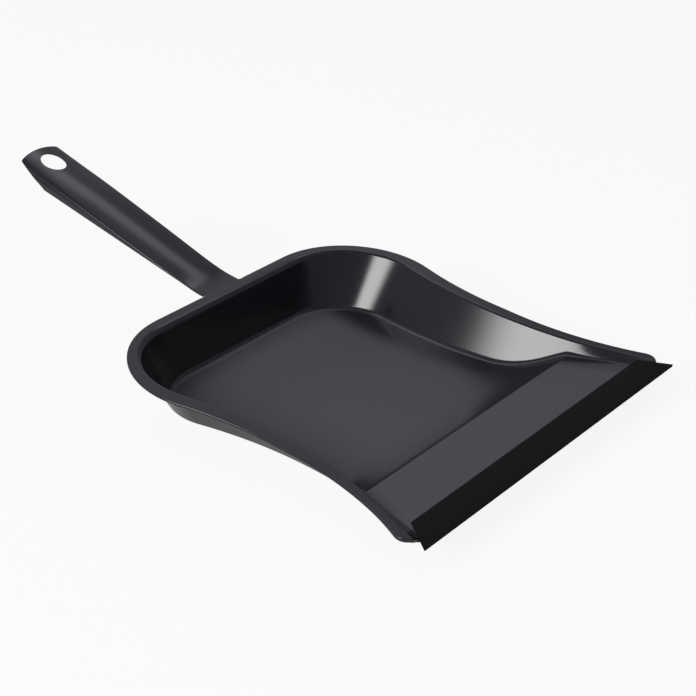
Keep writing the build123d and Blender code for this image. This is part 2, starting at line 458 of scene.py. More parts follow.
@dataclass
class Pan:
    """The drawn tray with its walls, flat rim and turned-down edge, as one bent sheet.

    Attributes:
        foot_narrows: Places between which the foot's radius falls to its radius at the front.
        front_roll_top: Places between which the top of the side wall comes to lean as at the front.
        front_roll_foot: The same for its foot.
        front_shift: How far the side wall stands further in at the front.
        front_step: Depth of the shelf's front edge below the rim's plane.
        front_corner_share: Share of the front corner's radius up to which rows follow its round.
        front_corner_fade: Length behind the front edge over which rows are drawn back.
        front_inset_lead: Distances before the corner between which rows make room for the turned edge.
        front_fan: Length of the inner bend whose rows spread over the front corner.
        front_fan_overlap: Share of it past which rows are also set out square to the wall.
        front_start: How far past the nearest point of the rim's edge the first row ends.
        front_turn: Depth of the turned edge at the front corner.
        front_turn_from: Half width past which the front edge is turned too.
        front_turn_length: Length of the rim's edge over which it comes to its depth at the sides.
        front_reach: Distances behind the front edge between which rows lie close together.
    """

    sheet: float = 0.8
    foot_back: float = 61.8
    foot_waist_width: float = 151.6
    foot_waist_at: float = -34.0
    foot_sweep_radius: float = 277.0
    foot_corner_radius: float = 36.0
    foot_radius: float = 4.6
    front_foot_radius: float = 1.8
    foot_narrows: Span = (-92.0, -120.0)
    side_draft: float = 33.5
    front_draft: float = 66.0
    front_roll_top: Span = (-93.0, -145.0)
    front_roll_foot: Span = (-119.5, -150.3)
    front_shift: float = 1.0
    back_draft: float = 10.0
    corner_draft: float = 18.5
    front_edge: float = -150.3
    front_step: float = 1.8
    rim_height: float = 28.7
    rim_tilt: float = 4.9
    flange: float = 7.9
    rim_waist_at: float = -57.0
    rim_waist_length: float = 14.0
    bend_radius: float = 2.4
    back_bend_radius: float = 4.4
    rim_turn: float = 1.4
    rim_edge_radius: float = 0.6
    front_corner_radius: float = 6.0
    front_corner_share: float = 0.9
    front_corner_fade: float = 20.0
    front_inset_lead: Span = (5.0, 1.0)
    front_fan: float = 22.0
    front_fan_overlap: float = 0.8
    front_start: float = 0.6
    front_turn: float = 2.2
    front_turn_from: float = 108.2
    front_turn_length: float = 30.0
    root_width: float = 29.4
    root_fillet: float = 0.9
    root_bend_radius: float = 60.0
    name: str = "drawn_pan"

    # Heights between which the foot's ball and the bend's ball are looked for
    foot_search: Span = (-3.0, 40.0)
    bend_search: Span = (0.0, 60.0)

    # Places along the wall at which the sheet is drawn
    side_rows: int = 90
    crease_rows: int = 7
    crease_reach: float = 1.0
    front_rows: int = 46
    front_reach: Span = (0.7, 45.0)
    corner_rows: int = 30
    back_columns: int = 14
    fillet_columns: int = 8
    root_columns: int = 8
    station_steps: int = 4000

    # Faces up the wall, across the rim and down its edge, and points on the runs of the rim's outline
    foot_steps: int = 8
    wall_steps: int = 6
    bend_steps: int = 6
    flange_steps: int = 5
    edge_steps: int = 6
    hem_steps: int = 2
    bend_points: int = 120
    rear_points: int = 120
    flare_points: int = 160
    turn_points: int = 80

    def __post_init__(self) -> None:
        """Works out the rim's plane and outline, the floor's profile and the axis of the side walls."""
        lean, tilt = tan(radians(self.back_draft)), tan(radians(self.rim_tilt))
        wall_back = (self.foot_back + (self.rim_height - self.sheet) * lean) / (1 - tilt * lean)
        self.rim = RimFrame(self.rim_height, self.rim_tilt, wall_back + self.flange, self.root_bend_radius)
        self.floor = FloorProfile(
            level=self.sheet,
            front_edge=self.front_edge,
            front_height=self.rim.level(self.front_edge) - self.front_step,
        )
        self.side_axis = self.foot_waist_width / 2 + self.foot_sweep_radius
        self.side_length = self.foot_back - self.foot_corner_radius - self.front_edge
        self.outline, self.outline_out, self.corner_start = self.rim_outline()

    @property
    def flange_row(self) -> int:
        """Number of the row of points at which the rim's edge starts to turn down."""
        return self.foot_steps + self.wall_steps + self.bend_steps + self.flange_steps

    def wall(self, station: Array, height: Array) -> tuple[Array, Array]:
        """Points on the right wall of the hollow, and level directions out of it.

        Args:
            station: 0 at the front edge, 1 where the rear corner starts, 2 where it ends, 3 in the middle.
            height: Height above the inner floor.

        Returns:
            The points, and level unit vectors that point out of the hollow.
        """
        sweep = self.foot_sweep_radius - self.side_run(station, height)
        corner = self.foot_corner_radius + height * tan(radians(self.corner_draft))
        back = self.foot_back + height * tan(radians(self.back_draft))
        centre_y = back - corner
        reach = centre_y - self.foot_waist_at
        centre_x = self.side_axis - np.sqrt((sweep + corner) ** 2 - reach**2)
        first = np.arcsin((self.front_edge - self.foot_waist_at) / sweep)
        touch = np.arctan2(reach, self.side_axis - centre_x)
        side = first + np.clip(station, 0, 1) * (touch - first)
        turn = -touch + np.clip(station - 1, 0, 1) * (pi / 2 + touch)
        places = [station <= 1, station <= 2]
        x = np.select(
            places,
            [self.side_axis - sweep * np.cos(side), centre_x + corner * np.cos(turn)],
            centre_x * (3 - station),
        )
        y = np.select(
            places, [self.foot_waist_at + sweep * np.sin(side), centre_y + corner * np.sin(turn)], back
        )
        out_x = np.select(places, [np.cos(side), np.cos(turn)], 0.0)
        out_y = np.select(places, [-np.sin(side), np.sin(turn)], 1.0)
        return np.stack((x, y, self.sheet + height), -1), np.stack((out_x, out_y, 0 * x), -1)

    def side_run(self, station: Array, height: Array) -> Array:
        """How far the side wall has moved outwards at a height; near the front it leans into a soft step.

        The lean changes evenly from the wall's foot to its top, about a line at half its height.

        Args:
            station: Places along the wall.
            height: Height above the inner floor.

        Returns:
            The distances from the wall's line at the inner floor.
        """
        y = self.front_edge + station * self.side_length
        low = self.floor.height(y)[0] - self.sheet
        rise = self.rim.level(y) - self.sheet - low
        leans = []
        for first, last in (self.front_roll_foot, self.front_roll_top):
            lean = between(self.side_draft, self.front_draft, blend_in(-y, -first, -last))
            leans.append(np.tan(np.radians(lean)))
        foot_lean, top_lean = leans
        shift = self.front_shift * blend_in(-y, -self.front_roll_foot[0], -self.front_edge)
        level, middle = (height - low) / rise, 0.5
        inside = np.clip(level, 0, 1)
        run = foot_lean * (inside - middle) + (top_lean - foot_lean) * (inside**2 - middle**2) / 2
        run += (level - inside) * np.where(level > 1, top_lean, foot_lean)
        return (low + rise * middle) * tan(radians(self.side_draft)) - shift + rise * run

    def wall_normal(self, station: Array, height: Array) -> Array:
        """Unit normals of the wall.

        Args:
            station: Places along the wall.
            height: Height above the inner floor.

        Returns:
            The normals, which point out of the hollow and into the steel.
        """
        reach = 0.5
        _, out = self.wall(station, height)
        higher, lower = self.wall(station, height + reach)[0], self.wall(station, height - reach)[0]
        lean = ((higher - lower) * out).sum(-1) / (2 * reach)
        return unit(out - lean[:, None] * np.array((0.0, 0.0, 1.0)))

    def foot(self, station: Array) -> tuple[Array, Array, Array, Array, Array]:
        """The round foot of the wall, as a ball that rolls between the floor and the wall.

        Args:
            station: Places along the wall.

        Returns:
            The ball's centres and radii, its directions to the floor and to the wall, and the heights at
            which it touches the wall.
        """
        y, (first, last) = self.front_edge + station * self.side_length, self.foot_narrows
        radius = between(self.foot_radius, self.front_foot_radius, blend_in(-y, -first, -last))

        def clearance(height: Array) -> Array:
            """How far the ball stands above the floor when it touches the wall at a height."""
            centre = self.wall(station, height)[0] - radius[:, None] * self.wall_normal(station, height)
            return centre[:, 2] - self.floor.height(centre[:, 1], radius)[0]

        height = rising_root(clearance, *(np.full(station.shape, end) for end in self.foot_search))
        normal = self.wall_normal(station, height)
        centre = self.wall(station, height)[0] - radius[:, None] * normal
        slope = self.floor.height(centre[:, 1], radius)[1]
        down = -np.stack((0 * slope, np.sin(slope), np.cos(slope)), -1)
        return centre, radius, down, normal, height

    def bend(self, station: Array) -> tuple[Array, Array, Array, Array]:
        """The bend from the wall to the rim, as a ball that rolls inside the steel.

        Args:
            station: Places along the wall.

        Returns:
            The ball's centres and radii, the wall's normals and the heights at which the ball touches it.
        """
        radius = between(self.bend_radius, self.back_bend_radius, blend_in(station, 1, 2))

        def clearance(height: Array) -> Array:
            """How far the ball stands through the rim's plane when it touches the wall at a height."""
            centre = self.wall(station, height)[0] + radius[:, None] * self.wall_normal(station, height)
            return (centre - (0, 0, self.rim.height)) @ self.rim.normal + radius

        height = rising_root(clearance, *(np.full(station.shape, end) for end in self.bend_search))
        normal = self.wall_normal(station, height)
        return self.wall(station, height)[0] + radius[:, None] * normal, radius, normal, height

    def rim_outline(self) -> tuple[Array, Array, float]:
        """Right half of the rim's edge in its own plane, from the front corner to the middle of the back.

        Returns:
            Points and unit vectors out of the rim at them, both across and up the plane, and the place across
            at which the round of the front corner starts.
        """
        slant = cos(radians(self.rim.tilt))

        def half_width(y: float) -> float:
            """Half width over the rim at a place along the tray."""
            sweep = self.foot_sweep_radius - (self.rim.level(y) - self.sheet) * tan(radians(self.side_draft))
            return self.side_axis - sqrt(sweep**2 - (y - self.foot_waist_at) ** 2) + self.flange

        wall_back = self.rim.back - self.flange
        lift = self.rim.level(wall_back) - self.sheet
        corner = self.foot_corner_radius + lift * tan(radians(self.corner_draft)) + self.flange
        centre_y = self.rim.back - corner
        centre_x = half_width(centre_y) - corner
        waist = half_width(self.rim_waist_at)
        waist_rear = self.rim_waist_at + self.rim_waist_length / 2
        waist_front = self.rim_waist_at - self.rim_waist_length / 2
        across, along = waist - centre_x, waist_rear - centre_y
        sweep = (across**2 + along**2 - corner**2) / (2 * (corner - across))
        share = corner / (corner + sweep)
        touch_x, touch_y = between(centre_x, waist + sweep, share), between(centre_y, waist_rear, share)
        touch = np.array((touch_x, touch_y / slant))
        back = np.array(((0.0, self.rim.root), (centre_x, self.rim.root)))
        back_heads = np.array(((1.0, 0.0), (1.0, 0.0)))
        bend, bend_heads = tangent_arc(back[1], back_heads[1], touch, self.bend_points)
        rear_end = np.array((waist, waist_rear / slant))
        rear, rear_heads = tangent_arc(bend[-1], bend_heads[-1], rear_end, self.rear_points)
        start = np.array((waist, waist_front / slant))
        tip = np.array((half_width(self.front_edge), self.front_edge / slant))
        flare, flare_heads = tangent_arc(start, np.array((0.0, -1.0)), tip, self.flare_points)
        cut = self.front_corner_radius * tan((pi / 2 + atan2(flare_heads[-1, 0], -flare_heads[-1, 1])) / 2)
        kept = np.linalg.norm(flare - tip, axis=1) > cut
        flare, flare_heads = flare[kept], flare_heads[kept]
        turn, turn_heads = tangent_arc(flare[-1], flare_heads[-1], tip - (cut, 0.0), self.turn_points)
        points = np.concatenate((back, bend[1:], rear[1:], flare, turn[1:]))[::-1]
        heads = (back_heads, bend_heads[1:], rear_heads[1:], flare_heads, turn_heads[1:])
        heads = np.concatenate(heads)[::-1]
        return points, np.stack((-heads[:, 1], heads[:, 0]), -1), tip[0] - cut

    def rim_edge(self, inner: Array, out: Array) -> tuple[Array, Array, Array]:
        """Places on the rim's edge that belong to places on its inner bend, beside and behind the tray.

        Args:
            inner: Ends of the inner bend, across and up the rim's plane, from the front to the back.
            out: Level directions out of the hollow at them.

        Returns:
            Points of the edge, unit vectors out of the rim at them, and the depths of the turned edge.
        """
        outline, length, walked = self.outline, walked_length(self.outline), walked_length(inner)
        reached = np.zeros(len(inner))
        for number in np.nonzero(walked > self.front_fan_overlap * self.front_fan)[0]:
            offset, way = outline - inner[number], out[number]
            side = offset[:, 0] * way[1] - offset[:, 1] * way[0]
            crossing = np.nonzero((side[:-1] * side[1:] <= 0) & (offset[:-1] @ way[:2] > 0))[0]
            nearest = crossing[np.argmin(np.linalg.norm(offset[crossing], axis=1))]
            share = side[nearest] / (side[nearest] - side[nearest + 1])
            reached[number] = between(length[nearest], length[nearest + 1], share)
        first = length[np.argmin(np.linalg.norm(outline - inner[0], axis=1))] + self.front_start
        fan_end = np.interp(self.front_fan, walked, reached)
        fanned = between(first, fan_end, walked / self.front_fan)
        reached = np.where(walked < self.front_fan, fanned, reached)
        depth = between(self.front_turn, self.rim_turn, blend_in(reached, first, self.front_turn_length))
        spread = [np.interp(reached, length, line) for line in (*outline.T, *self.outline_out.T)]
        return np.stack(spread[:2], -1), unit(np.stack(spread[2:], -1)), depth

    def stations(self) -> tuple[Array, int]:
        """Places along the right wall at which the sheet is drawn, closer together at the crease.

        Returns:
            The stations from the front to the middle of the back, and how many of them lie before the back.
        """
        fine = np.linspace(0, 2, self.station_steps + 1)
        centre, radius, down, _, _ = self.foot(fine)
        floor_y = (centre + radius[:, None] * down)[:, 1]
        crease = self.floor.crease_at + np.linspace(-self.crease_reach, self.crease_reach, self.crease_rows)
        even = np.linspace(floor_y[0], np.interp(1.0, fine, floor_y), self.side_rows)
        close = floor_y[0] + np.linspace(*self.front_reach, self.front_rows)
        side = np.interp(np.sort(np.concatenate((even, crease, close))), floor_y, fine)
        corner = np.linspace(1, 2, self.corner_rows)[1:]
        middle = self.wall(np.array((2.0,)), np.array((0.0,)))[0][0, 0]
        half, turn = self.root_width / 2, np.linspace(0, pi / 2, self.fillet_columns + 1)
        edge = half + self.root_fillet * (1 - np.sin(turn))
        root = np.linspace(half, 0, self.root_columns + 1)[1:]
        back = np.concatenate((np.linspace(middle, edge[0], self.back_columns + 1)[1:-1], edge, root))
        return np.concatenate((side, corner, 3 - back / middle)), len(side) + len(corner)

    def build(self, paint: Material) -> Object:
        """Draws the right half of the sheet, mirrors it, closes it and paints it.

        Args:
            paint: The pan's material.

        Returns:
            The pan's object.
        """
        station, before_back = self.stations()
        points, normals = self.section_rows(station, before_back)
        flip = np.array((-1.0, 1.0, 1.0))
        points = np.concatenate((points, points[-2::-1] * flip))
        normals = np.concatenate((normals, normals[-2::-1] * flip))
        skin = SheetSkin(self.sheet)
        strip = skin.add_points(points, normals)
        keep = np.ones((strip.shape[0] - 1, strip.shape[1] - 1), bool)
        middle = len(station) - 1
        first, last = middle - self.root_columns, middle + self.root_columns
        keep[first:last, self.flange_row :] = False
        skin.add_grid(strip, keep)
        skin.flush = strip[first : last + 1, self.flange_row].tolist()
        for side in (0, -1):
            self.turn_front(skin, strip[side], points[side], normals[side])
        self.lay_floor(skin, strip, before_back)
        return skin.solid(self.name, paint)

    def turn_front(self, skin: SheetSkin, numbers: Array, points: Array, normals: Array) -> None:
        """Carries the rim's turned edge on round the front corner, as far as the lip's end.

        Args:
            skin: The sheet that takes the points and faces.
            numbers: Point numbers of the sheet's first or last row of points.
            points: Their places.
            normals: Their unit normals.
        """
        first = int(np.argmax(np.abs(points[:, 0]) > self.front_turn_from))
        place, up = points[first : self.flange_row], normals[first : self.flange_row]
        radius = self.rim_edge_radius
        inner_radius = self.front_corner_radius - radius
        side = np.clip((np.abs(place[:, 0]) - self.corner_start) / inner_radius, 0, 1)
        out = (np.sign(place[:, 0]) * side)[:, None] * ACROSS - np.sqrt(1 - side**2)[:, None] * self.rim.along
        out = unit(out - (out * up).sum(-1, keepdims=True) * up)
        rows = [numbers[first : self.flange_row]]
        for turn in pi / 2 * shares(self.edge_steps):
            moved = place + radius * (sin(turn) * out - (1 - cos(turn)) * up)
            rows.append(skin.add_points(moved, cos(turn) * up + sin(turn) * out))
        for share in shares(self.hem_steps):
            moved = place + radius * out - between(radius, self.front_turn, share) * up
            rows.append(skin.add_points(moved, out))
        skin.add_grid(np.concatenate((np.stack(rows), numbers[self.flange_row :, None]), axis=1))

    def section_rows(self, station: Array, before_back: int) -> tuple[Array, Array]:
        """Points of the sheet from the foot's edge on the floor up to the rim's turned edge.

        Args:
            station: Places along the right wall.
            before_back: How many of them lie beside the tray and round its corner.

        Returns:
            Points and unit normals, by station, row and axis.
        """
        centre, radius, down, wall_normal, low = self.foot(station)
        ways = swing(down, wall_normal, self.foot_steps)
        points, normals = [centre[:, None] + ways * radius[:, None, None]], [-ways]
        bend_centre, bend_radius, bend_normal, high = self.bend(station)
        for share in shares(self.wall_steps)[:-1]:
            height = between(low, high, share)
            points.append(self.wall(station, height)[0][:, None])
            normals.append(-self.wall_normal(station, height)[:, None])
        up = np.broadcast_to(self.rim.normal, bend_centre.shape)
        ways = swing(-bend_normal, up, self.bend_steps)
        points.append(bend_centre[:, None] + ways * bend_radius[:, None, None])
        normals.append(ways)
        self.round_front(points)
        inner = self.rim.local(points[-1][:, -1])
        edge, out, depth = self.edge_places(station, before_back, inner)
        start = edge - out * self.rim_edge_radius
        for share in shares(self.flange_steps):
            place, normal = self.rim.space(between(inner, start, share))
            points.append(place[:, None])
            normals.append(normal[:, None])
        for turn in pi / 2 * shares(self.edge_steps):
            self.edge_row(points, normals, start, out, turn, 0 * depth)
        for share in shares(self.hem_steps):
            self.edge_row(points, normals, start, out, pi / 2, share * (depth - self.rim_edge_radius))
        return np.concatenate(points, axis=1), np.concatenate(normals, axis=1)

    def round_front(self, rows: list[Array]) -> None:
        """Draws the wall's front end back along the rounded corner of the rim, inside its turned edge.

        Args:
            rows: Points of the foot, wall and bend, which are moved in place.
        """
        radius = self.front_corner_radius
        first, last = (self.corner_start - lead for lead in self.front_inset_lead)
        for points in rows:
            past = np.clip(points[..., 0] - self.corner_start, 0, self.front_corner_share * radius)
            share = 1 - blend_in(points[..., 1], self.front_edge, self.front_edge + self.front_corner_fade)
            inset = self.rim_edge_radius * blend_in(points[..., 0], first, last)
            moved = (radius - np.sqrt(radius**2 - past**2) + inset) * share
            points[..., 1:] += moved[..., None] * self.rim.along[1:] / self.rim.along[1]

    def edge_row(
        self, points: list[Array], normals: list[Array], start: Array, out: Array, turn: float, past: Array
    ) -> None:
        """Adds one row of the rim's turned edge.

        Args:
            points: Rows of points that are there.
            normals: Rows of normals that are there.
            start: Places across and up the rim's plane at which the edge starts to turn.
            out: Unit vectors out of the rim, across and up its plane.
            turn: Turn of the edge from flat, in radians.
            past: Distances past the end of the round.
        """
        reach = self.rim_edge_radius * sin(turn) + past * cos(turn)
        drop = self.rim_edge_radius * (1 - cos(turn)) + past * sin(turn)
        place, up = self.rim.space(start + out * reach[:, None], drop)
        outward = out[:, :1] * ACROSS + out[:, 1:] * np.cross(up, ACROSS)
        points.append(place[:, None])
        normals.append((cos(turn) * up + sin(turn) * outward)[:, None])

    def edge_places(self, station: Array, before_back: int, inner: Array) -> tuple[Array, Array, Array]:
        """The rim's edge at every station, with the fillets by which it runs into the handle.

        Args:
            station: Places along the right wall.
            before_back: How many of them lie beside the tray and round its corner.
            inner: Ends of the inner bend, across and up the rim's plane.

        Returns:
            Points of the edge and unit vectors out of the rim, both across and up its plane, and the edge's
            depths.
        """
        out = self.wall(station, 0 * station)[1]
        edge, outward, depth = self.rim_edge(inner[:before_back], out[:before_back])
        half, fillet, radius = self.root_width / 2, self.root_fillet, self.rim_edge_radius
        back_x = inner[before_back:, 0]
        turn = np.arcsin(np.clip((half + fillet - back_x) / fillet, 0, 1))
        back = np.stack((back_x, self.rim.root + fillet * (1 - np.cos(turn))), -1)
        back_out = np.stack((np.sin(turn), np.cos(turn)), -1)
        behind = back_x < half
        back[behind, 0] = back_x[behind] * (half - radius) / half + radius
        depths = np.concatenate((depth, np.full(len(back), self.rim_turn)))
        return np.concatenate((edge, back)), np.concatenate((outward, back_out)), depths

    def lay_floor(self, skin: SheetSkin, strip: Array, before_back: int) -> None:
        """Spans the floor, riser and shelf between the two sides of the foot.

        Args:
            skin: The sheet that takes the points and faces.
            strip: Point numbers of the walls, by station and row.
            before_back: How many stations lie on either side before the back.
        """
        rim = np.concatenate(skin.points)[strip[:, 0]]
        back = rim[before_back - 1 : len(strip) - before_back + 1]
        share = back[1:-1, 0] / back[0, 0]
        right = rim[: before_back - 1]
        y = np.repeat(right[:, 1:2], len(share), axis=1)
        height, slope = self.floor.height(y)
        points = np.stack((right[:, :1] * share, y, height), -1)
        numbers = skin.add_points(points, np.stack((0 * slope, np.sin(slope), np.cos(slope)), -1))
        near, far = strip[: before_back - 1, :1], strip[::-1][: before_back - 1, :1]
        middle = strip[before_back - 1 : len(strip) - before_back + 1, 0]
        skin.add_grid(np.concatenate((np.concatenate((near, numbers, far), axis=1), middle[None]), axis=0))


@dataclass(frozen=True)
class ChannelSection:
    """Sizes of the handle's section at some places: a crown arc, two shoulder arcs and two skirts.

    Attributes:
        lift: Lift of the crown above its line.
        crown: Radius of the crown.
        shoulder: Radius of the shoulders.
        centre_x: Distance of a shoulder's centre from the middle.
        centre_z: Height of a shoulder's centre above the crown's top.
        turn: Turn of the crown where a shoulder starts, in radians.
        upright: Depth at which an upright skirt starts.
        crown_length: Length of half the crown.
        shoulder_length: Length of a shoulder.
        skirt_length: Length of a skirt.
    """

    lift: Array
    crown: Array
    shoulder: Array
    centre_x: Array
    centre_z: Array
    turn: Array
    upright: Array
    crown_length: Array
    shoulder_length: Array
    skirt_length: Array


@dataclass
class Handle:
    """The channel that rises from the rim's back, with a rounded end and a hanging hole.

    Attributes:
        joint_arch: Rise of the crown where the handle meets the rim.
        joint_shoulder: Radius of the shoulders there.
        root_blend: Distance past the bend at which the section is fully formed.
        crown_lift: How far the formed crown stands above its line.
        lift_until: Where that lift starts to fall.
        lift_gone_from_tip: Distance from the tip at which it is gone.
        tip_corner_share: Share of a quarter turn at which the tip's small corner arcs end.
        runout_blend: Length over which the skirts' lower edge meets the tip's outline.
        hole_margin: Least width of the rings round the hole.
        start: Where the handle starts, past the start of the bend.
    """

    pan: Pan
    slope: float = 18.0
    reach: float = 147.3
    root_skirt: float = 1.4
    joint_arch: float = 0.02
    joint_shoulder: float = 0.6
    root_arch: float = 1.9
    root_shoulder: float = 1.0
    root_blend: float = 14.0
    crown_lift: float = 0.6
    lift_until: float = 90.0
    lift_gone_from_tip: float = 12.0
    tip_width: float = 35.2
    tip_skirt: float = 9.8
    tip_arch: float = 2.2
    tip_shoulder: float = 6.5
    tip_end_radius: float = 44.0
    tip_corner_radius: float = 4.0
    tip_corner_share: float = 0.97
    runout_length: float = 27.2
    runout_edge: float = 1.8
    runout_slope: float = 8.5
    runout_blend: float = 3.0
    hole_width: float = 14.2
    hole_length: float = 17.5
    hole_from_tip: float = 15.1
    hole_margin: float = 1.4
    start: float = 0.9
    name: str = "channel_handle"

    # Faces along and across the channel and round its hole, and points on the arcs of its tip
    bend_steps: int = 11
    straight_steps: int = 63
    runout_steps: int = 28
    crown_steps: int = 10
    side_steps: int = 12
    hole_rings: int = 5
    end_points: int = 200
    corner_points: int = 120
    runout_points: int = 80

    def __post_init__(self) -> None:
        """Takes over the rim, the sheet and the root's width from the pan."""
        self.rim, self.sheet, self.root_width = self.pan.rim, self.pan.sheet, self.pan.root_width

    @property
    def runout_start(self) -> float:
        """Where the skirts start to run out towards the tip."""
        return self.reach - self.runout_length

    @property
    def bend_length(self) -> float:
        """Length of the bend at the root."""
        return self.rim.bend_radius * radians(self.slope - self.rim.tilt)

    def spine(self, t: Array) -> tuple[Array, Array, Array]:
        """The line along the crown's middle: a bend and then a straight run.

        Args:
            t: Distance past the end of the bend, below zero on the bend.

        Returns:
            Points, unit directions along the line and unit normals above it.
        """
        rise = radians(self.slope) + np.minimum(t, 0) / self.rim.bend_radius
        along = np.stack((0 * rise, np.cos(rise), np.sin(rise)), -1)
        normal = np.stack((0 * rise, -np.sin(rise), np.cos(rise)), -1)
        centre = np.array((0, 0, self.rim.height)) + self.rim.root * self.rim.along
        centre = centre + self.rim.bend_radius * self.rim.normal
        return centre - self.rim.bend_radius * normal + np.maximum(t, 0)[..., None] * along, along, normal

    def skirt_depth(self, t: float | Array) -> float | Array:
        """Depth of the full skirts below the crown's line."""
        return between(self.root_skirt, self.tip_skirt, np.clip(t / self.reach, 0, 1))

    def section(self, t: Array) -> ChannelSection:
        """The channel's section at places along it.

        Args:
            t: Distance past the end of the bend.

        Returns:
            The section's sizes.
        """
        share = np.clip(t / self.reach, 0, 1)
        grown = blend_in(t, self.start - self.bend_length, self.root_blend)
        half = between(self.root_width, self.tip_width, share) / 2
        arch = between(self.joint_arch, between(self.root_arch, self.tip_arch, share), grown)
        shoulder = between(self.root_shoulder, self.tip_shoulder, share**2)
        shoulder = between(self.joint_shoulder, shoulder, grown)
        lift_gone = self.reach - self.lift_gone_from_tip
        lift = self.crown_lift * grown * (1 - blend_in(t, self.lift_until, lift_gone))
        skirt = self.skirt_depth(t) + lift
        crown = (half**2 + arch**2) / (2 * arch)
        inner = crown - shoulder
        upright = crown - np.sqrt(inner**2 - (half - shoulder) ** 2)
        span = np.hypot(half, crown - skirt)
        ahead = (inner**2 - shoulder**2 + span**2) / (2 * span)
        aside = np.sqrt(np.maximum(inner**2 - ahead**2, 0))
        full = skirt >= upright
        centre_x = np.where(full, half - shoulder, (ahead * half - aside * (crown - skirt)) / span)
        centre_z = np.where(full, -upright, (ahead * (crown - skirt) + aside * half) / span - crown)
        turn = np.arctan2(centre_x, centre_z + crown)
        end = np.where(full, pi / 2, np.arctan2(half - centre_x, -skirt - centre_z))
        return ChannelSection(
            lift, crown, shoulder, centre_x, centre_z, turn, upright,
            crown_length=crown * turn,
            shoulder_length=shoulder * (end - turn),
            skirt_length=np.where(full, skirt - upright, 0.0),
        )

    def surface(self, v: Array, t: Array) -> Array:
        """Points of the channel's upper side.

        Args:
            v: Distance over the section from the crown's middle, to the right.
            t: Distance past the end of the bend.

        Returns:
            The points in space.
        """
        size = self.section(t)
        far = np.abs(v)
        on_crown = np.minimum(far, size.crown_length) / size.crown
        past = np.clip(far - size.crown_length, 0, size.shoulder_length)
        angle = size.turn + past / size.shoulder
        skirt = np.maximum(far - size.crown_length - size.shoulder_length, 0)
        end = size.turn + size.shoulder_length / size.shoulder
        at_crown = far <= size.crown_length
        x = np.where(
            at_crown,
            size.crown * np.sin(on_crown),
            size.centre_x + size.shoulder * np.sin(angle) + skirt * np.cos(end),
        )
        z = np.where(
            at_crown,
            size.crown * (np.cos(on_crown) - 1),
            size.centre_z + size.shoulder * np.cos(angle) - skirt * np.sin(end),
        )
        point, _, normal = self.spine(t)
        return point + (z + size.lift)[..., None] * normal + (np.sign(v) * x)[..., None] * ACROSS

    def normal(self, v: Array, t: Array) -> Array:
        """Unit normals of the channel's upper side.

        Args:
            v: Distance over the section from the crown's middle, to the right.
            t: Distance past the end of the bend.

        Returns:
            The normals.
        """
        reach = 0.02
        across = self.surface(v + reach, t) - self.surface(v - reach, t)
        along = self.surface(v, t + reach) - self.surface(v, t - reach)
        return unit(np.cross(across, along))

    def width_at_x(self, x: Array, t: Array) -> Array:
        """Distance over the section at which it stands a given way out from the middle.

        Args:
            x: Distance out from the middle.
            t: Distance past the end of the bend.

        Returns:
            The distances over the section.
        """
        size = self.section(t)
        on_crown = size.crown * np.arcsin(np.clip(x / size.crown, -1, 1))
        sine = np.clip((x - size.centre_x) / size.shoulder, -1, 1)
        on_shoulder = size.crown_length + size.shoulder * (np.arcsin(sine) - size.turn)
        return np.where(on_crown <= size.crown_length, on_crown, on_shoulder)

    def width_at_depth(self, depth: Array, t: Array) -> Array:
        """Distance over the section at which its shoulder or skirt reaches a depth.

        Args:
            depth: Depth below the crown's line.
            t: Distance past the end of the bend.

        Returns:
            The distances over the section.
        """
        size = self.section(t)
        below = depth + size.lift
        cosine = np.clip((-below - size.centre_z) / size.shoulder, 0, 1)
        on_shoulder = size.crown_length + size.shoulder * (np.arccos(cosine) - size.turn)
        return on_shoulder + np.maximum(below - size.upright, 0)

    def tip_outline(self) -> Array:
        """The tip's rounded end, from its middle to the skirts' cut.

        Returns:
            Distances over the section and along the handle, by point.
        """
        radius, small = self.tip_end_radius, self.tip_corner_radius
        centre = self.reach - radius
        corner_x = self.tip_width / 2 - small
        corner_t = centre + sqrt((radius - small) ** 2 - corner_x**2)
        touch = asin(corner_x / (radius - small))
        end = np.linspace(0, touch, self.end_points)
        turn = np.linspace(touch, self.tip_corner_share * pi / 2, self.corner_points)[1:]
        x = np.concatenate((radius * np.sin(end), corner_x + small * np.sin(turn)))
        t = np.concatenate((centre + radius * np.cos(end), corner_t + small * np.cos(turn)))
        v = self.width_at_x(x, t)
        inside = v <= self.width_at_depth(self.runout_depth(t), t)
        return np.stack((v, t), -1)[: len(t) if inside.all() else int(np.argmin(inside))]

    def runout_depth(self, t: Array) -> Array:
        """Depth of the skirts' lower edge, which runs out along an arc near the tip.

        Args:
            t: Distance past the end of the bend.

        Returns:
            The depths below the crown's line.
        """
        first, fall = self.runout_start, radians(self.runout_slope)
        tip, start = (self.reach, -self.runout_edge), (first, -self.skirt_depth(first))
        heading = (-cos(fall), -sin(fall))
        points, _ = tangent_arc(np.array(tip), np.array(heading), np.array(start), self.runout_points)
        cut = -np.interp(t, points[::-1, 0], points[::-1, 1])
        return np.where(t < first, self.skirt_depth(t), cut)

    def columns(self, t: Array) -> Array:
        """Distances over the section at which the mesh has columns.

        Args:
            t: Distance past the end of the bend.

        Returns:
            The distances, by place and column, from the left edge to the right.
        """
        size = self.section(t)
        crown, rest = size.crown_length[:, None], (size.shoulder_length + size.skirt_length)[:, None]
        on_crown = crown * np.linspace(0, 1, self.crown_steps + 1)
        on_side = crown + rest * shares(self.side_steps)
        half = np.concatenate((on_crown, on_side), axis=1)
        return np.concatenate((-half[:, :0:-1], half), axis=1)

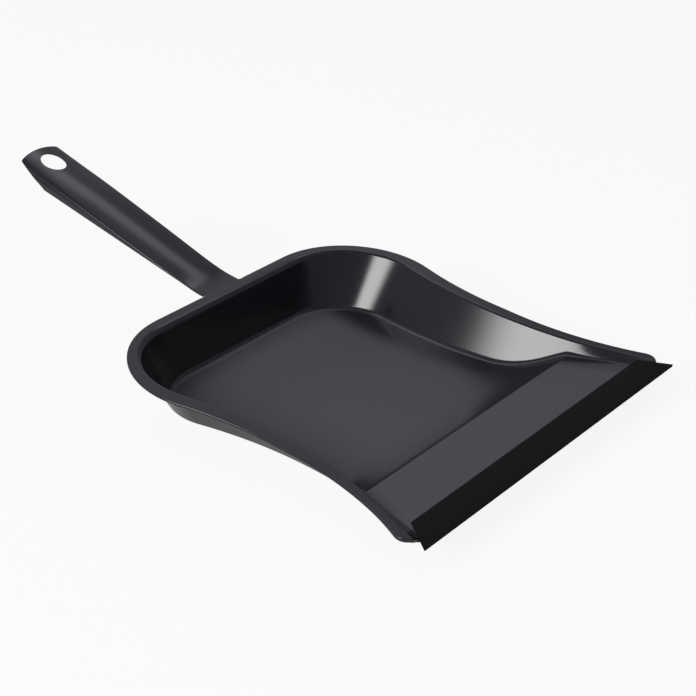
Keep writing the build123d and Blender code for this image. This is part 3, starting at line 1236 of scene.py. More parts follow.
    def tip_patch(self, columns: Array) -> tuple[Array, Array]:
        """Places of the sheet where its skirts run out, fitted between its sides and its end.

        Args:
            columns: Distances over the section at its start.

        Returns:
            Distances over the section and along the handle, by row and column.
        """
        outline, first = self.tip_outline(), self.runout_start
        corner_v, corner_t = outline[-1]
        side_t = np.linspace(first, corner_t, self.runout_steps + 1)
        side_v = self.width_at_depth(self.runout_depth(side_t), side_t)
        side_v += (corner_v - side_v[-1]) * blend_in(side_t, corner_t - self.runout_blend, corner_t)
        width = walked_length(outline)
        share = np.abs(columns) / columns[-1] * width[-1]
        end_v = np.sign(columns) * np.interp(share, width, outline[:, 0])
        end_t = np.interp(share, width, outline[:, 1])
        across = (columns / columns[-1] + 1) / 2
        down = np.linspace(0, 1, len(side_t))
        blend, rise = across[None, :], down[:, None]
        edge_v = (1 - blend) * -side_v[:, None] + blend * side_v[:, None]
        corners = (1 - rise) * (2 * blend - 1) * side_v[0] + rise * (2 * blend - 1) * side_v[-1]
        v = (1 - rise) * columns + rise * end_v + edge_v - corners
        ends_t = (1 - rise) * first + rise * end_t
        t = ends_t + side_t[:, None] - ((1 - rise) * first + rise * corner_t)
        return v, t

    def build(self, paint: Material) -> Object:
        """Lays the channel's upper side, leaves the hole out, closes the sheet and paints it.

        Args:
            paint: The handle's material.

        Returns:
            The handle's object.
        """
        bend = np.linspace(self.start - self.bend_length, 0, self.bend_steps + 1)
        straight = np.linspace(0, self.runout_start, self.straight_steps + 1)[1:]
        t = np.concatenate((bend, straight))
        v = self.columns(t)
        tip_v, tip_t = self.tip_patch(v[-1])
        v = np.concatenate((v, tip_v[1:]))
        t = np.concatenate((np.repeat(t[:, None], v.shape[1], axis=1), tip_t[1:]))
        skin = SheetSkin(self.sheet)
        numbers = skin.add_points(self.surface(v, t), self.normal(v, t))
        keep = np.ones((len(v) - 1, v.shape[1] - 1), bool)
        self.ring_hole(skin, numbers, v, t, keep)
        skin.add_grid(numbers, keep)
        skin.flush = numbers[0].tolist()
        return skin.solid(self.name, paint)

    def ring_hole(self, skin: SheetSkin, numbers: Array, v: Array, t: Array, keep: Array) -> None:
        """Replaces a block of faces by rings that close in on the hanging hole.

        Args:
            skin: The sheet that takes the points and faces.
            numbers: Point numbers of the grid, by row and column.
            v: Distances over the section, by row and column.
            t: Distances along the handle, by row and column.
            keep: Whether each face of the grid is laid; the block's faces are taken out of it.
        """
        across, along, margin = self.hole_width / 2, self.hole_length / 2, self.hole_margin
        centre = self.reach - self.hole_from_tip
        middle = v.shape[1] // 2
        low = np.nonzero(t[:, middle] < centre - along - margin)[0][-1]
        high = np.nonzero(t[:, middle] > centre + along + margin)[0][0]
        wide = np.nonzero(v[low : high + 1].min(0) > across + margin)[0][0]
        left, right = 2 * middle - wide, wide
        keep[low:high, left:right] = False
        around = (
            [(low, k) for k in range(left, right)]
            + [(k, right) for k in range(low, high)]
            + [(high, k) for k in range(right, left, -1)]
            + [(k, left) for k in range(high, low, -1)]
        )
        rows, cols = np.array(around).T
        outer_v, outer_t = v[rows, cols], t[rows, cols]
        angle = np.arctan2((outer_t - centre) / along, outer_v / across)
        hole_t = centre + along * np.sin(angle)
        hole_v = np.sign(np.cos(angle)) * self.width_at_x(np.abs(across * np.cos(angle)), hole_t)
        grid = [numbers[rows, cols]]
        for share in shares(self.hole_rings):
            ring_v, ring_t = between(outer_v, hole_v, share), between(outer_t, hole_t, share)
            grid.append(skin.add_points(self.surface(ring_v, ring_t), self.normal(ring_v, ring_t)))
        grid = np.stack(grid)
        skin.add_grid(np.concatenate((grid, grid[:, :1]), axis=1))


# Node trees

class MixKind(Enum):
    """What a mix node blends: its type, and the ending of its sockets' names."""

    NUMBER = ("FLOAT", "Float")
    COLOUR = ("RGBA", "Color")


class Nodes:
    """Places and links nodes in one tree."""

    def __init__(self, tree: NodeTree) -> None:
        """Keeps the tree that takes the nodes."""
        self.tree = tree

    def add(self, kind: str, settings: dict[str, object] | None = None, **inputs: object) -> Node:
        """Places a node.

        Args:
            kind: The node's type.
            settings: Properties of the node itself.
            **inputs: Values or output sockets for its inputs; an underscore stands for a space in a name.

        Returns:
            The node.
        """
        node = self.tree.nodes.new(kind)
        for key, value in (settings or {}).items():
            setattr(node, key, value)
        for key, value in inputs.items():
            self.feed(node.inputs[key.replace("_", " ")], value)
        return node

    def feed(self, socket: NodeSocket, value: object) -> None:
        """Links an output to a socket, or sets the socket's own value.

        Args:
            socket: The socket.
            value: An output socket, or a value.
        """
        if isinstance(value, NodeSocket):
            self.tree.links.new(value, socket)
        else:
            socket.default_value = value

    def feed_all(self, node: Node, values: tuple[object, ...]) -> Node:
        """Feeds a node's inputs in their order.

        Args:
            node: The node.
            values: Values or output sockets.

        Returns:
            The same node.
        """
        for socket, value in zip(node.inputs, values):
            self.feed(socket, value)
        return node

    def math(self, operation: str, *values: object) -> NodeSocket:
        """A sum, product or other operation on numbers.

        Args:
            operation: The operation's name.
            *values: Numbers or output sockets.

        Returns:
            The result's socket.
        """
        return self.feed_all(self.add("ShaderNodeMath", {"operation": operation}), values).outputs[0]

    def vector(self, operation: str, *values: object) -> NodeSocket:
        """An operation on vectors whose result is a vector, or a number for a dot product.

        Args:
            operation: The operation's name.
            *values: Vectors or output sockets.

        Returns:
            The result's socket.
        """
        node = self.feed_all(self.add("ShaderNodeVectorMath", {"operation": operation}), values)
        return node.outputs["Value" if operation == "DOT_PRODUCT" else "Vector"]

    def split(self, vector: NodeSocket) -> NodeOutputs:
        """The three numbers of a vector, as sockets X, Y and Z."""
        return self.add("ShaderNodeSeparateXYZ", Vector=vector).outputs

    def ramp(
        self, value: object, start: object, end: object, low: object = 0.0, high: object = 1.0
    ) -> NodeSocket:
        """A number that goes smoothly from one value to another.

        Args:
            value: The number that it follows.
            start: Where it still has its first value.
            end: Where it has its last value.
            low: Its first value.
            high: Its last value.

        Returns:
            The number's socket.
        """
        node = self.add(
            "ShaderNodeMapRange", {"interpolation_type": "SMOOTHSTEP"}, Value=value, From_Min=start,
            From_Max=end, To_Min=low, To_Max=high,
        )
        return node.outputs[0]

    def mix(self, kind: MixKind, share: object, first: object, second: object) -> NodeSocket:
        """A number or a colour between two others.

        Args:
            kind: What is mixed.
            share: Share of the second.
            first: The first number or colour.
            second: The second number or colour.

        Returns:
            The result's socket.
        """
        data_type, ending = kind.value
        node = self.add("ShaderNodeMix", {"data_type": data_type}, Factor=share)
        sockets = {socket.identifier: socket for socket in (*node.inputs, *node.outputs)}
        self.feed(sockets[f"A_{ending}"], first)
        self.feed(sockets[f"B_{ending}"], second)
        return sockets[f"Result_{ending}"]


def named_sockets(
    tree: NodeTree, inputs: dict[str, tuple[str, object]], outputs: dict[str, str]
) -> None:
    """Gives a tree its named inputs and outputs.

    Args:
        tree: The tree.
        inputs: Socket type and default value of each input, or None for no default.
        outputs: Socket type of each output.
    """
    for name, (kind, value) in inputs.items():
        socket = tree.interface.new_socket(name, in_out="INPUT", socket_type=kind)
        if value is not None:
            socket.default_value = value
    for name, kind in outputs.items():
        tree.interface.new_socket(name, in_out="OUTPUT", socket_type=kind)


@dataclass
class RubberLip:
    """The rubber strip on the front edge: one section, swept across and cut at a slant at both ends."""

    pan: Pan
    clearance: float = 0.1
    jaw_depth: float = 8.3
    upper_jaw: float = 3.6
    lower_jaw: float = 1.6
    nose: float = 8.4
    nose_rise: float = 0.9
    nose_thickness: float = 1.2
    mitre: float = 35.0
    edge_half: float = 110.2
    undercut: float = 36.0
    edge_radius: float = 0.25
    edge_points: int = 4
    length_steps: int = 48
    smooth_below: float = 40.0
    name: str = "push_on_lip"

    def section(self) -> list[tuple[float, float]]:
        """Corners of the section.

        Returns:
            Distances forward of the steel's front edge and above its upper side.
        """
        top, floor = self.clearance, -self.pan.sheet - self.clearance
        return [
            (-self.jaw_depth, top),
            (self.clearance, top),
            (self.clearance, floor),
            (-self.jaw_depth, floor),
            (-self.jaw_depth, floor - self.lower_jaw),
            (0.0, floor - self.lower_jaw),
            (self.nose, self.nose_rise - self.nose_thickness),
            (self.nose, self.nose_rise),
            (-self.jaw_depth, top + self.upper_jaw),
        ]

    def end_plane(self) -> tuple[float, float, float]:
        """The cut at either end, as the lip's half length over its section.

        Returns:
            The half length at the steel's front edge, and its growth forward and upwards.
        """
        spread = tan(radians(self.mitre))
        low = (-self.jaw_depth, self.clearance + self.upper_jaw, self.edge_half - self.jaw_depth * spread)
        high = (self.nose, self.nose_rise, self.edge_half + self.nose * spread)
        lean, slope = radians(self.undercut), radians(self.pan.floor.shelf_slope)
        rows = np.array((
            (high[0] - low[0], high[1] - low[1]),
            (cos(lean) * sin(slope), cos(lean) * cos(slope)),
        ))
        forward, upward = np.linalg.solve(rows, np.array((high[2] - low[2], sin(lean))))
        return low[2] - forward * low[0] - upward * low[1], forward, upward

    def tree(self, material: Material) -> NodeTree:
        """The node tree that sweeps the section and slants the ends.

        Args:
            material: The lip's material.

        Returns:
            The tree, with the lip's sizes as named inputs.
        """
        tree = bpy.data.node_groups.new("swept_lip", "GeometryNodeTree")
        number = "NodeSocketFloat"
        named_sockets(
            tree,
            {
                "Section": ("NodeSocketGeometry", None),
                "Half Length": (number, 0.1),
                "Forward Growth": (number, 0.0),
                "Upward Growth": (number, 0.0),
                "Slope": (number, 0.0),
                "Edge Radius": (number, 0.0),
                "Length Steps": ("NodeSocketInt", 2),
                "Front Edge": ("NodeSocketVector", None),
            },
            {"Lip": "NodeSocketGeometry"},
        )
        nodes = Nodes(tree)
        given = nodes.add("NodeGroupInput").outputs
        outline = nodes.add("GeometryNodeMeshToCurve", Mesh=given["Section"])
        rounded = nodes.add(
            "GeometryNodeFilletCurve", {"mode": "POLY"}, Curve=outline.outputs[0], Count=self.edge_points,
            Radius=given["Edge Radius"], Limit_Radius=True,
        )
        line = nodes.add("GeometryNodeCurvePrimitiveLine", Start=(0, 0, -1), End=(0, 0, 1))
        path = nodes.add("GeometryNodeResampleCurve", Curve=line.outputs[0], Count=given["Length Steps"])
        swept = nodes.add(
            "GeometryNodeCurveToMesh", Curve=path.outputs[0], Profile_Curve=rounded.outputs[0], Fill_Caps=True
        )
        place = nodes.split(nodes.add("GeometryNodeInputPosition").outputs[0])
        forward, upward, side = place["X"], place["Y"], place["Z"]
        grown = nodes.math("MULTIPLY_ADD", forward, given["Forward Growth"], given["Half Length"])
        half = nodes.math("MULTIPLY_ADD", upward, given["Upward Growth"], grown)
        sine, cosine = nodes.math("SINE", given["Slope"]), nodes.math("COSINE", given["Slope"])
        rise = nodes.math("MULTIPLY_ADD", upward, cosine, nodes.math("MULTIPLY", forward, sine))
        ahead = nodes.math("MULTIPLY", forward, cosine)
        back = nodes.math("SUBTRACT", nodes.math("MULTIPLY", upward, sine), ahead)
        local = nodes.add("ShaderNodeCombineXYZ", X=nodes.math("MULTIPLY", side, half), Y=back, Z=rise)
        moved = nodes.vector("ADD", local.outputs[0], given["Front Edge"])
        mirrored = nodes.add("GeometryNodeSetPosition", Geometry=swept.outputs[0], Position=moved)
        shaped = nodes.add("GeometryNodeFlipFaces", Mesh=mirrored.outputs[0])
        angle = nodes.add("GeometryNodeInputMeshEdgeAngle").outputs["Unsigned Angle"]
        soft = nodes.math("LESS_THAN", angle, radians(self.smooth_below))
        smooth = nodes.add(
            "GeometryNodeSetShadeSmooth", {"domain": "EDGE"}, Geometry=shaped.outputs[0], Shade_Smooth=soft
        )
        real = nodes.add("GeometryNodeRealizeInstances", Geometry=smooth.outputs[0])
        dressed = nodes.add("GeometryNodeSetMaterial", Geometry=real.outputs[0], Material=material)
        nodes.add("NodeGroupOutput", Lip=dressed.outputs[0])
        return tree

    def build(self, material: Material) -> Object:
        """Sweeps the lip and turns it into a plain mesh.

        Args:
            material: The lip's material.

        Returns:
            The lip's object.
        """
        corners = [(forward * MM, upward * MM, 0.0) for forward, upward in self.section()]
        count = len(corners)
        mesh = bpy.data.meshes.new("lip_section")
        mesh.from_pydata(corners, [(k, (k + 1) % count) for k in range(count)], [])
        blank = place_object("lip_section", mesh)
        half, forward, upward = self.end_plane()
        sizes = {
            "Half Length": half * MM,
            "Forward Growth": forward,
            "Upward Growth": upward,
            "Slope": radians(self.pan.floor.shelf_slope),
            "Edge Radius": self.edge_radius * MM,
            "Length Steps": self.length_steps,
            "Front Edge": (0.0, self.pan.front_edge * MM, self.pan.floor.front_height * MM),
        }
        made = run_tree(blank, self.tree(material), sizes)
        made.name = self.name
        bpy.data.objects.remove(blank)
        return place_object(self.name, made)


def run_tree(blank: Object, tree: NodeTree, sizes: dict[str, object]) -> Mesh:
    """Runs a geometry node tree on an object and gives the result as a plain mesh.

    Args:
        blank: The object whose mesh the tree starts from.
        tree: The tree.
        sizes: Values of the tree's named inputs.

    Returns:
        The mesh, free of modifiers.
    """
    modifier = blank.modifiers.new("shape", "NODES")
    modifier.node_group = tree
    for item in tree.interface.items_tree:
        if item.item_type == "SOCKET" and item.in_out == "INPUT" and item.name in sizes:
            modifier[item.identifier] = sizes[item.name]
    graph = bpy.context.evaluated_depsgraph_get()
    made = bpy.data.meshes.new_from_object(blank.evaluated_get(graph))
    blank.modifiers.remove(modifier)
    return made


# Finishes

def surface_grain() -> NodeTree:
    """Shader group for the fine skin of paint or rubber: a height for bumps and a soft mottling.

    Returns:
        The group, with the grain's scales as named inputs.
    """
    tree = bpy.data.node_groups.new("surface_grain", "ShaderNodeTree")
    number, mottle_share = "NodeSocketFloat", 2.5
    named_sockets(
        tree,
        {
            "Vector": ("NodeSocketVector", None),
            "Grain Scale": (number, 900.0),
            "Wave Scale": (number, 30.0),
            "Wave Share": (number, 0.5),
        },
        {"Height": number, "Mottle": number},
    )
    nodes = Nodes(tree)
    given = nodes.add("NodeGroupInput").outputs
    mottle_scale = nodes.math("MULTIPLY", given["Wave Scale"], mottle_share)
    scales = ((given["Grain Scale"], 2.0), (given["Wave Scale"], 1.0), (mottle_scale, 4.0))
    grain, waves, mottle = (
        nodes.add("ShaderNodeTexNoise", Vector=given["Vector"], Scale=scale, Detail=detail).outputs[0]
        for scale, detail in scales
    )
    mixed = nodes.math("MULTIPLY_ADD", waves, given["Wave Share"], grain)
    nodes.add("NodeGroupOutput", Height=mixed, Mottle=mottle)
    return tree


@dataclass(frozen=True)
class Finish:
    """A surface whose colour, gloss and fine bumps follow the shared grain.

    Attributes:
        base: Its colour.
        light: Its colour where the mottling is lightest.
        roughness: Its least roughness.
        roughness_spread: How much rougher the mottling makes it.
        grain_scale: Scale of the fine bumps.
        wave_scale: Scale of the waves under them.
        bump: Height of the bumps, in metres.
        specular: Strength of its mirror reflection.
    """

    base: Colour
    light: Colour
    roughness: float
    roughness_spread: float
    grain_scale: float
    wave_scale: float
    bump: float
    specular: float

    def skin(self, name: str, grain: NodeTree) -> Material:
        """Makes the surface's material.

        Args:
            name: The material's name.
            grain: The shared grain group.

        Returns:
            The material.
        """
        material = bpy.data.materials.new(name)
        material.use_nodes = True
        nodes = Nodes(material.node_tree)
        shader = material.node_tree.nodes["Principled BSDF"].inputs
        made = nodes.add(
            "ShaderNodeGroup", {"node_tree": grain}, Vector=nodes.add("ShaderNodeTexCoord").outputs["Object"],
            Grain_Scale=self.grain_scale, Wave_Scale=self.wave_scale,
        ).outputs
        colour = nodes.mix(MixKind.COLOUR, made["Mottle"], (*self.base, 1.0), (*self.light, 1.0))
        gloss = nodes.math("MULTIPLY_ADD", made["Mottle"], self.roughness_spread, self.roughness)
        bump = nodes.add("ShaderNodeBump", Height=made["Height"], Distance=self.bump, Strength=1.0)
        nodes.feed(shader["Base Color"], colour)
        nodes.feed(shader["Roughness"], gloss)
        nodes.feed(shader["Normal"], bump.outputs[0])
        nodes.feed(shader["Specular IOR Level"], self.specular)
        return material


@dataclass(frozen=True)
class SatinPaint(Finish):
    """Black baked paint on steel, smooth and a little glossy, and dull and grey where dirt is swept over it,
    with painted light and shade in that grey.

    Attributes:
        worn: Colour of the worn paint at the front.
        worn_painted_light_back: Its colour at the back, painted lighter there as painted light where the
            walls shade the floor.
        painted_light_from: Where along the tray the painted light starts to turn the worn colour from one to
            the other.
        painted_light_past: How far past the back of the floor the turn ends.
        worn_roughness: Roughness of the worn paint.
        shade_lean: How far the worn places and the painted shade round them lie to the left of the middle.
        worn_level: Upward shares of the surface's normal between which wear starts and is full.
        worn_below_rim: Depths below the rim between which wear is full and gone.
        foot_shade_margin: Distance from the foot of the side walls at which the painted shade starts to give
            way to wear.
        back_shade_margin: Distance from it at which the painted shade is gone and wear is full at the back of
            the floor.
        sweep_shade_margin: The same on the floor's rise.
        shelf_shade_margin: The same on the shelf.
        sweep_shade_reach: Places behind the crease between which the rise's margin turns into the floor's.
        shelf_shade_reach: Places behind the crease between which the shelf's margin turns into the rise's.
        crease_shade_margin: Distances behind the crease at which the painted shade ends and wear is full, at
            the middle and at the right wall.
    """

    base: Colour = (0.0138, 0.0146, 0.0180)
    light: Colour = (0.0166, 0.0174, 0.0210)
    roughness: float = 0.15
    roughness_spread: float = 0.03
    grain_scale: float = 1500.0
    wave_scale: float = 26.0
    bump: float = 0.00001
    specular: float = 0.5
    worn: Colour = (0.0640, 0.0560, 0.0670)
    worn_painted_light_back: Colour = (0.1020, 0.0940, 0.1060)
    painted_light_from: float = 5.0
    painted_light_past: float = 20.0
    worn_roughness: float = 0.5
    shade_lean: float = 8.0
    worn_level: Span = (0.74, 0.96)
    worn_below_rim: Span = (1.6, 0.4)
    foot_shade_margin: float = 2.0
    back_shade_margin: float = 22.0
    sweep_shade_margin: float = 42.0
    shelf_shade_margin: float = 8.0
    sweep_shade_reach: Span = (10.0, 60.0)
    shelf_shade_reach: Span = (-2.0, 4.0)
    crease_shade_margin: Span = (8.0, 52.0)

    def material(self, grain: NodeTree, pan: Pan) -> Material:
        """The paint's material, duller and lighter on the worn places of the tray's floor and shelf, with
        painted light and shade in them.

        Args:
            grain: The shared grain group.
            pan: The tray, whose rim, crease and side walls bound the worn places and the painted shade.

        Returns:
            The material.
        """
        material = self.skin("satin_paint", grain)
        nodes = Nodes(material.node_tree)
        shader = material.node_tree.nodes["Principled BSDF"].inputs
        given = nodes.add("ShaderNodeTexCoord").outputs
        # Share of wear, with painted shade where it is held off the walls and the crease.
        worn = self.wear_and_shade_share(nodes, given, pan)
        # Painted light: the worn grey turns lighter towards the back of the floor, where the walls shade it.
        along, last = nodes.split(given["Object"])["Y"], pan.foot_back + self.painted_light_past
        rear = nodes.ramp(along, self.painted_light_from * MM, last * MM)
        worn_with_painted_light = nodes.mix(MixKind.COLOUR, rear, (*self.worn, 1.0), (*self.worn_painted_light_back, 1.0))
        changes = (("Base Color", MixKind.COLOUR, worn_with_painted_light), ("Roughness", MixKind.NUMBER, self.worn_roughness))
        for name, kind, value in changes:
            whole = shader[name].links[0].from_socket
            nodes.feed(shader[name], nodes.mix(kind, worn, whole, value))
        return material

    def wear_and_shade_share(self, nodes: Nodes, given: NodeOutputs, pan: Pan) -> NodeSocket:
        """Share of wear: full on level places inside the tray, none at its walls, on its rim and handle, and
        held off the floor near the walls and the crease as painted shade.

        Args:
            nodes: The material's nodes.
            given: The surface's coordinates.
            pan: The tray.

        Returns:
            The share's socket.
        """
        level = nodes.ramp(nodes.split(given["Normal"])["Z"], *self.worn_level)
        rim_offset = pan.rim.height * cos(radians(pan.rim.tilt))
        depths = ((rim_offset - depth) * MM for depth in self.worn_below_rim)
        height = nodes.vector("DOT_PRODUCT", given["Object"], tuple(pan.rim.normal))
        below = nodes.ramp(height, *depths, 1.0, 0.0)
        place = nodes.split(given["Object"])
        # Painted shade: wear is cut back along the side walls and before the crease, where the floor stays
        # glossy black.
        clear = nodes.math(
            "MULTIPLY", self.wall_shade_falloff(nodes, place, pan), self.crease_shade_falloff(nodes, place, pan)
        )
        return nodes.math("MULTIPLY", clear, nodes.math("MULTIPLY", level, below))

    def wall_shade_falloff(self, nodes: Nodes, place: NodeOutputs, pan: Pan) -> NodeSocket:
        """Share that falls to none towards the side walls, as painted shade that leaves the floor glossy
        black along them.

        Args:
            nodes: The material's nodes.
            place: Places on the surface, by axis.
            pan: The tray.

        Returns:
            The share's socket.
        """
        across = nodes.math("ABSOLUTE", nodes.math("ADD", place["X"], self.shade_lean * MM))
        aside = nodes.math("SUBTRACT", pan.side_axis * MM, across)
        ahead = nodes.math("SUBTRACT", place["Y"], pan.foot_waist_at * MM)
        squares = nodes.math("MULTIPLY_ADD", ahead, ahead, nodes.math("MULTIPLY", aside, aside))
        run = nodes.math("MULTIPLY", place["Z"], tan(radians(pan.side_draft)))
        inside = nodes.math("ADD", nodes.math("SQRT", squares), run)
        # Inner edge of the painted shade band along the walls, and its outer edges on the shelf, the rise and
        # the floor.
        foot, shelf, sweep, back = (
            (pan.foot_sweep_radius + margin) * MM
            for margin in (self.foot_shade_margin, self.shelf_shade_margin, self.sweep_shade_margin, self.back_shade_margin)
        )
        sweep_shade_reach, shelf_shade_reach = (
            [(pan.floor.crease_at + distance) * MM for distance in reach]
            for reach in (self.sweep_shade_reach, self.shelf_shade_reach)
        )
        floor = nodes.ramp(place["Y"], *sweep_shade_reach, sweep, back)
        return nodes.ramp(inside, foot, nodes.ramp(place["Y"], *shelf_shade_reach, shelf, floor))

    def crease_shade_falloff(self, nodes: Nodes, place: NodeOutputs, pan: Pan) -> NodeSocket:
        """Share that falls to none from the floor towards the crease, as painted shade on the rise, and is
        full on the shelf.

        Args:
            nodes: The material's nodes.
            place: Places on the surface, by axis.
            pan: The tray.

        Returns:
            The share's socket.
        """
        crease, wall = pan.floor.crease_at, pan.foot_waist_width / 2
        # Painted shade before the crease: narrow at the middle, wide at the right wall.
        ends = [(crease + distance) * MM for distance in self.crease_shade_margin]
        full = nodes.ramp(place["X"], -self.shade_lean * MM, wall * MM, *ends)
        swept = nodes.ramp(place["Y"], crease * MM, full)
        shelf = nodes.math("LESS_THAN", place["Y"], crease * MM)
        return nodes.math("MAXIMUM", shelf, swept)


@dataclass(frozen=True)
class MouldedRubber(Finish):
    """Matte black rubber with a fine moulded grain."""

    base: Colour = (0.0046, 0.0037, 0.0044)
    light: Colour = (0.0076, 0.0064, 0.0074)
    roughness: float = 0.62
    roughness_spread: float = 0.1
    grain_scale: float = 2200.0
    wave_scale: float = 60.0
    bump: float = 0.00005
    specular: float = 0.12

    def material(self, grain: NodeTree) -> Material:
        """The rubber's material, over the shared grain group."""
        return self.skin("moulded_rubber", grain)


# Studio

@dataclass(frozen=True)
class SoftBox:
    """A flat soft light, placed by its direction from the tray.

    Attributes:
        heading: Direction in degrees from the handle's side, turning towards +X.
        elevation: Angle above the ground, in degrees.
        distance: Distance from the tray, in metres.
        width: Width, in metres.
        height: Height, in metres.
        glow: Brightness of its face.
        fades: Shares of its width over which its two ends fade out.
    """

    name: str
    heading: float
    elevation: float
    distance: float
    width: float
    height: float
    glow: float
    fades: Span = (0.1, 0.1)

    def build(self, aim: Vector) -> Object:
        """Sets the light up.

        Args:
            aim: The point that it faces, in metres.

        Returns:
            The light's object.
        """
        light = bpy.data.lights.new(self.name, "AREA")
        light.shape = "RECTANGLE"
        light.size, light.size_y = self.width, self.height
        light.energy = self.glow * pi * self.width * self.height
        self.fade_ends(light)
        turn, rise = radians(self.heading), radians(self.elevation)
        away = Vector((sin(turn) * cos(rise), cos(turn) * cos(rise), sin(rise)))
        lamp = place_object(self.name, light)
        lamp.location = aim + away * self.distance
        lamp.rotation_euler = away.to_track_quat("Z", "Y").to_euler()
        lamp.visible_camera = False
        return lamp

    def fade_ends(self, light: Light) -> None:
        """Lets the ends of the light's face fade out.

        Args:
            light: The light.
        """
        light.use_nodes = True
        nodes = Nodes(light.node_tree)
        across = nodes.split(nodes.add("ShaderNodeNewGeometry").outputs["Parametric"])["X"]
        first, last = self.fades
        share = nodes.math("MULTIPLY", nodes.ramp(across, 0.0, first), nodes.ramp(across, 1.0, 1.0 - last))
        nodes.feed(light.node_tree.nodes["Emission"].inputs["Strength"], share)


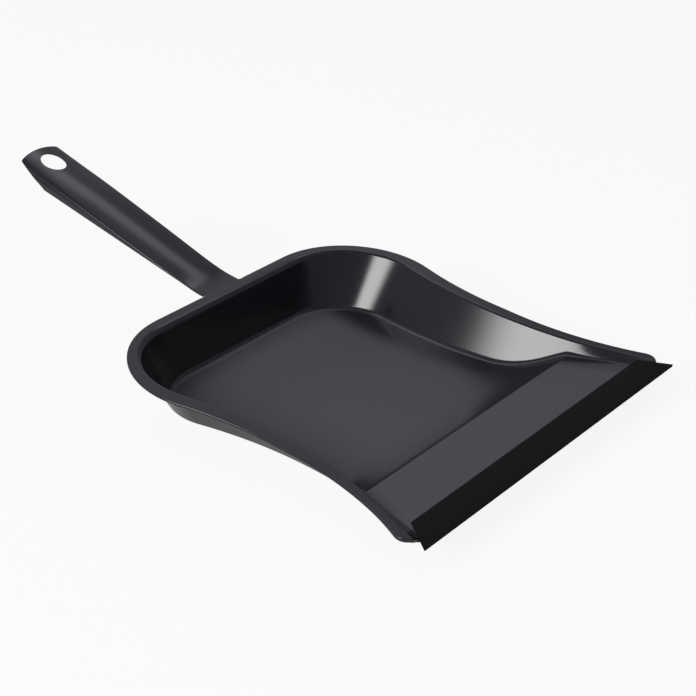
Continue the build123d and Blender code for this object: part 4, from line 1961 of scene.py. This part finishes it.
@dataclass
class Studio:
    """Pale floor, soft lights and the camera, placed in metres.

    Attributes:
        camera_heading: Turn of the camera about the upright.
        camera_tilt: Its turn up from straight down.
        floor_drop: How far the floor lies below the tray.
        floor_white: Brightness of the floor as it lights the tray.
        floor_shown: Brightness of the floor and the sky to the camera.
        shadow_share: Share of the true shadows that the camera sees.
        aim: Point that the soft lights face.
        back_heading: Direction of the back of the studio.
        front_glow: Brightness of the sky behind the camera.
        round_glow: Its brightness elsewhere.
        glow_turn: Cosines from the back between which it goes from one to the other.
        back_glow: Brightness of the patch at the back.
        back_spread: Angles from the back between which the patch fades in.
        band_glow: Brightness of the band above the tray.
        band_rise: Angles above the ground between which the band fades in.
        band_fall: Angles above the ground between which it fades out.
        band_turn: Cosines from the back between which it fades in.
    """

    camera_place: tuple[float, float, float] = (-0.642381, -0.540534, 0.466669)
    camera_heading: float = -50.93
    camera_tilt: float = 62.0
    camera_lens: float = 87.44
    floor_size: float = 60.0
    floor_drop: float = 0.0002
    floor_white: float = 0.82
    floor_shown: float = 1.0
    shadow_share: float = 0.1
    aim: tuple[float, float, float] = (0.09, -0.02, 0.015)
    back_heading: float = 50.0
    front_glow: float = 0.18
    round_glow: float = 0.25
    glow_turn: Span = (-1.0, 0.2)
    back_glow: float = 0.22
    back_spread: Span = (16.0, 4.0)
    band_glow: float = 1.1
    band_rise: Span = (44.5, 49.5)
    band_fall: Span = (55.0, 61.0)
    band_turn: Span = (0.2, 0.8)
    sky_tint: Colour = (0.96, 0.985, 1.05)
    boxes: tuple[SoftBox, ...] = (
        SoftBox(
            "side_box", heading=-78.3, elevation=32.0, distance=2.4, width=1.54, height=1.0, glow=12.0,
            fades=(0.4, 0.2),
        ),
    )

    def build(self) -> None:
        """Sets up the floor, the lights and the camera."""
        self.build_floor()
        self.build_sky()
        for box in self.boxes:
            box.build(Vector(self.aim))
        self.build_camera()
        bpy.context.scene.view_settings.view_transform = "Standard"

    def build_floor(self) -> None:
        """A wide pale floor whose shadows are soft and faint to the camera."""
        half = self.floor_size / 2
        mesh = bpy.data.meshes.new("floor")
        corners = [(-half, -half, 0), (half, -half, 0), (half, half, 0), (-half, half, 0)]
        mesh.from_pydata(corners, [], [(0, 1, 2, 3)])
        floor = place_object("floor", mesh)
        floor.location.z = -self.floor_drop
        material = bpy.data.materials.new("pale_floor")
        material.use_nodes = True
        tree = material.node_tree
        tree.nodes.clear()
        nodes = Nodes(tree)
        matte = nodes.add("ShaderNodeBsdfDiffuse", Color=(self.floor_white,) * 3 + (1.0,))
        paper = nodes.add("ShaderNodeEmission", Color=(self.floor_shown,) * 3 + (1.0,))
        camera = nodes.add("ShaderNodeLightPath").outputs["Is Camera Ray"]
        seen = nodes.math("MULTIPLY", camera, 1 - self.shadow_share)
        shaders = (seen, matte.outputs[0], paper.outputs[0])
        mixed = nodes.feed_all(nodes.add("ShaderNodeMixShader"), shaders)
        nodes.add("ShaderNodeOutputMaterial", Surface=mixed.outputs[0])
        mesh.materials.append(material)

    def build_sky(self) -> None:
        """Soft light from all round: dim behind the camera, brighter behind the tray and above it."""
        world = bpy.data.worlds.new("studio")
        bpy.context.scene.world = world
        world.use_nodes = True
        tree = world.node_tree
        tree.nodes.clear()
        nodes = Nodes(tree)
        parts = nodes.split(nodes.add("ShaderNodeTexCoord").outputs["Generated"])
        flat = nodes.add("ShaderNodeCombineXYZ", X=parts["X"], Y=parts["Y"]).outputs[0]
        heading = radians(self.back_heading)
        back_way = (sin(heading), cos(heading), 0.0)
        facing = nodes.vector("DOT_PRODUCT", nodes.vector("NORMALIZE", flat), back_way)
        spread = (cos(radians(angle)) for angle in self.back_spread)
        rise, fall = (
            [sin(radians(angle)) for angle in angles] for angles in (self.band_rise, self.band_fall)
        )
        around = nodes.ramp(facing, *self.glow_turn, self.front_glow, self.round_glow)
        patch = nodes.ramp(facing, *spread, 0.0, self.back_glow)
        lower = nodes.ramp(parts["Z"], *rise, 0.0, self.band_glow)
        upper = nodes.ramp(parts["Z"], *fall, 1.0, 0.0)
        behind = nodes.ramp(facing, *self.band_turn)
        band = nodes.math("MULTIPLY", nodes.math("MULTIPLY", lower, upper), behind)
        lit = nodes.math("ADD", nodes.math("ADD", around, patch), band)
        camera = nodes.add("ShaderNodeLightPath").outputs["Is Camera Ray"]
        shown = nodes.mix(MixKind.NUMBER, camera, lit, self.floor_shown)
        glow = nodes.add("ShaderNodeBackground", Color=(*self.sky_tint, 1.0), Strength=shown)
        nodes.add("ShaderNodeOutputWorld", Surface=glow.outputs[0])

    def build_camera(self) -> None:
        """The camera at the photograph's place, with its heading, tilt and lens."""
        data = bpy.data.cameras.new("camera")
        data.lens = self.camera_lens
        camera = place_object("camera", data)
        camera.location = self.camera_place
        camera.rotation_euler = (radians(self.camera_tilt), 0.0, radians(self.camera_heading))
        bpy.context.scene.camera = camera


def keep_piece(piece: Object, node: str) -> None:
    """Puts a finished piece in the place of its CAD node and reports it.

    Args:
        piece: The finished piece.
        node: Name of the CAD node that it stands for.
    """
    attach(piece, BODY)
    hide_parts(node)
    log.info("%s stands for %s, %d faces", piece.name, node, len(piece.data.polygons))


def main() -> None:
    """Builds the pieces, dresses them and sets up the studio."""
    logging.basicConfig(level=logging.INFO, format="%(name)s: %(message)s")
    grain = surface_grain()
    pan = Pan()
    paint = SatinPaint().material(grain, pan)
    rubber = MouldedRubber().material(grain)
    keep_piece(pan.build(paint), "pan")
    keep_piece(Handle(pan).build(paint), "handle")
    keep_piece(RubberLip(pan).build(rubber), "rubber_lip")
    Studio().build()


if __name__ == "__main__":
    main()
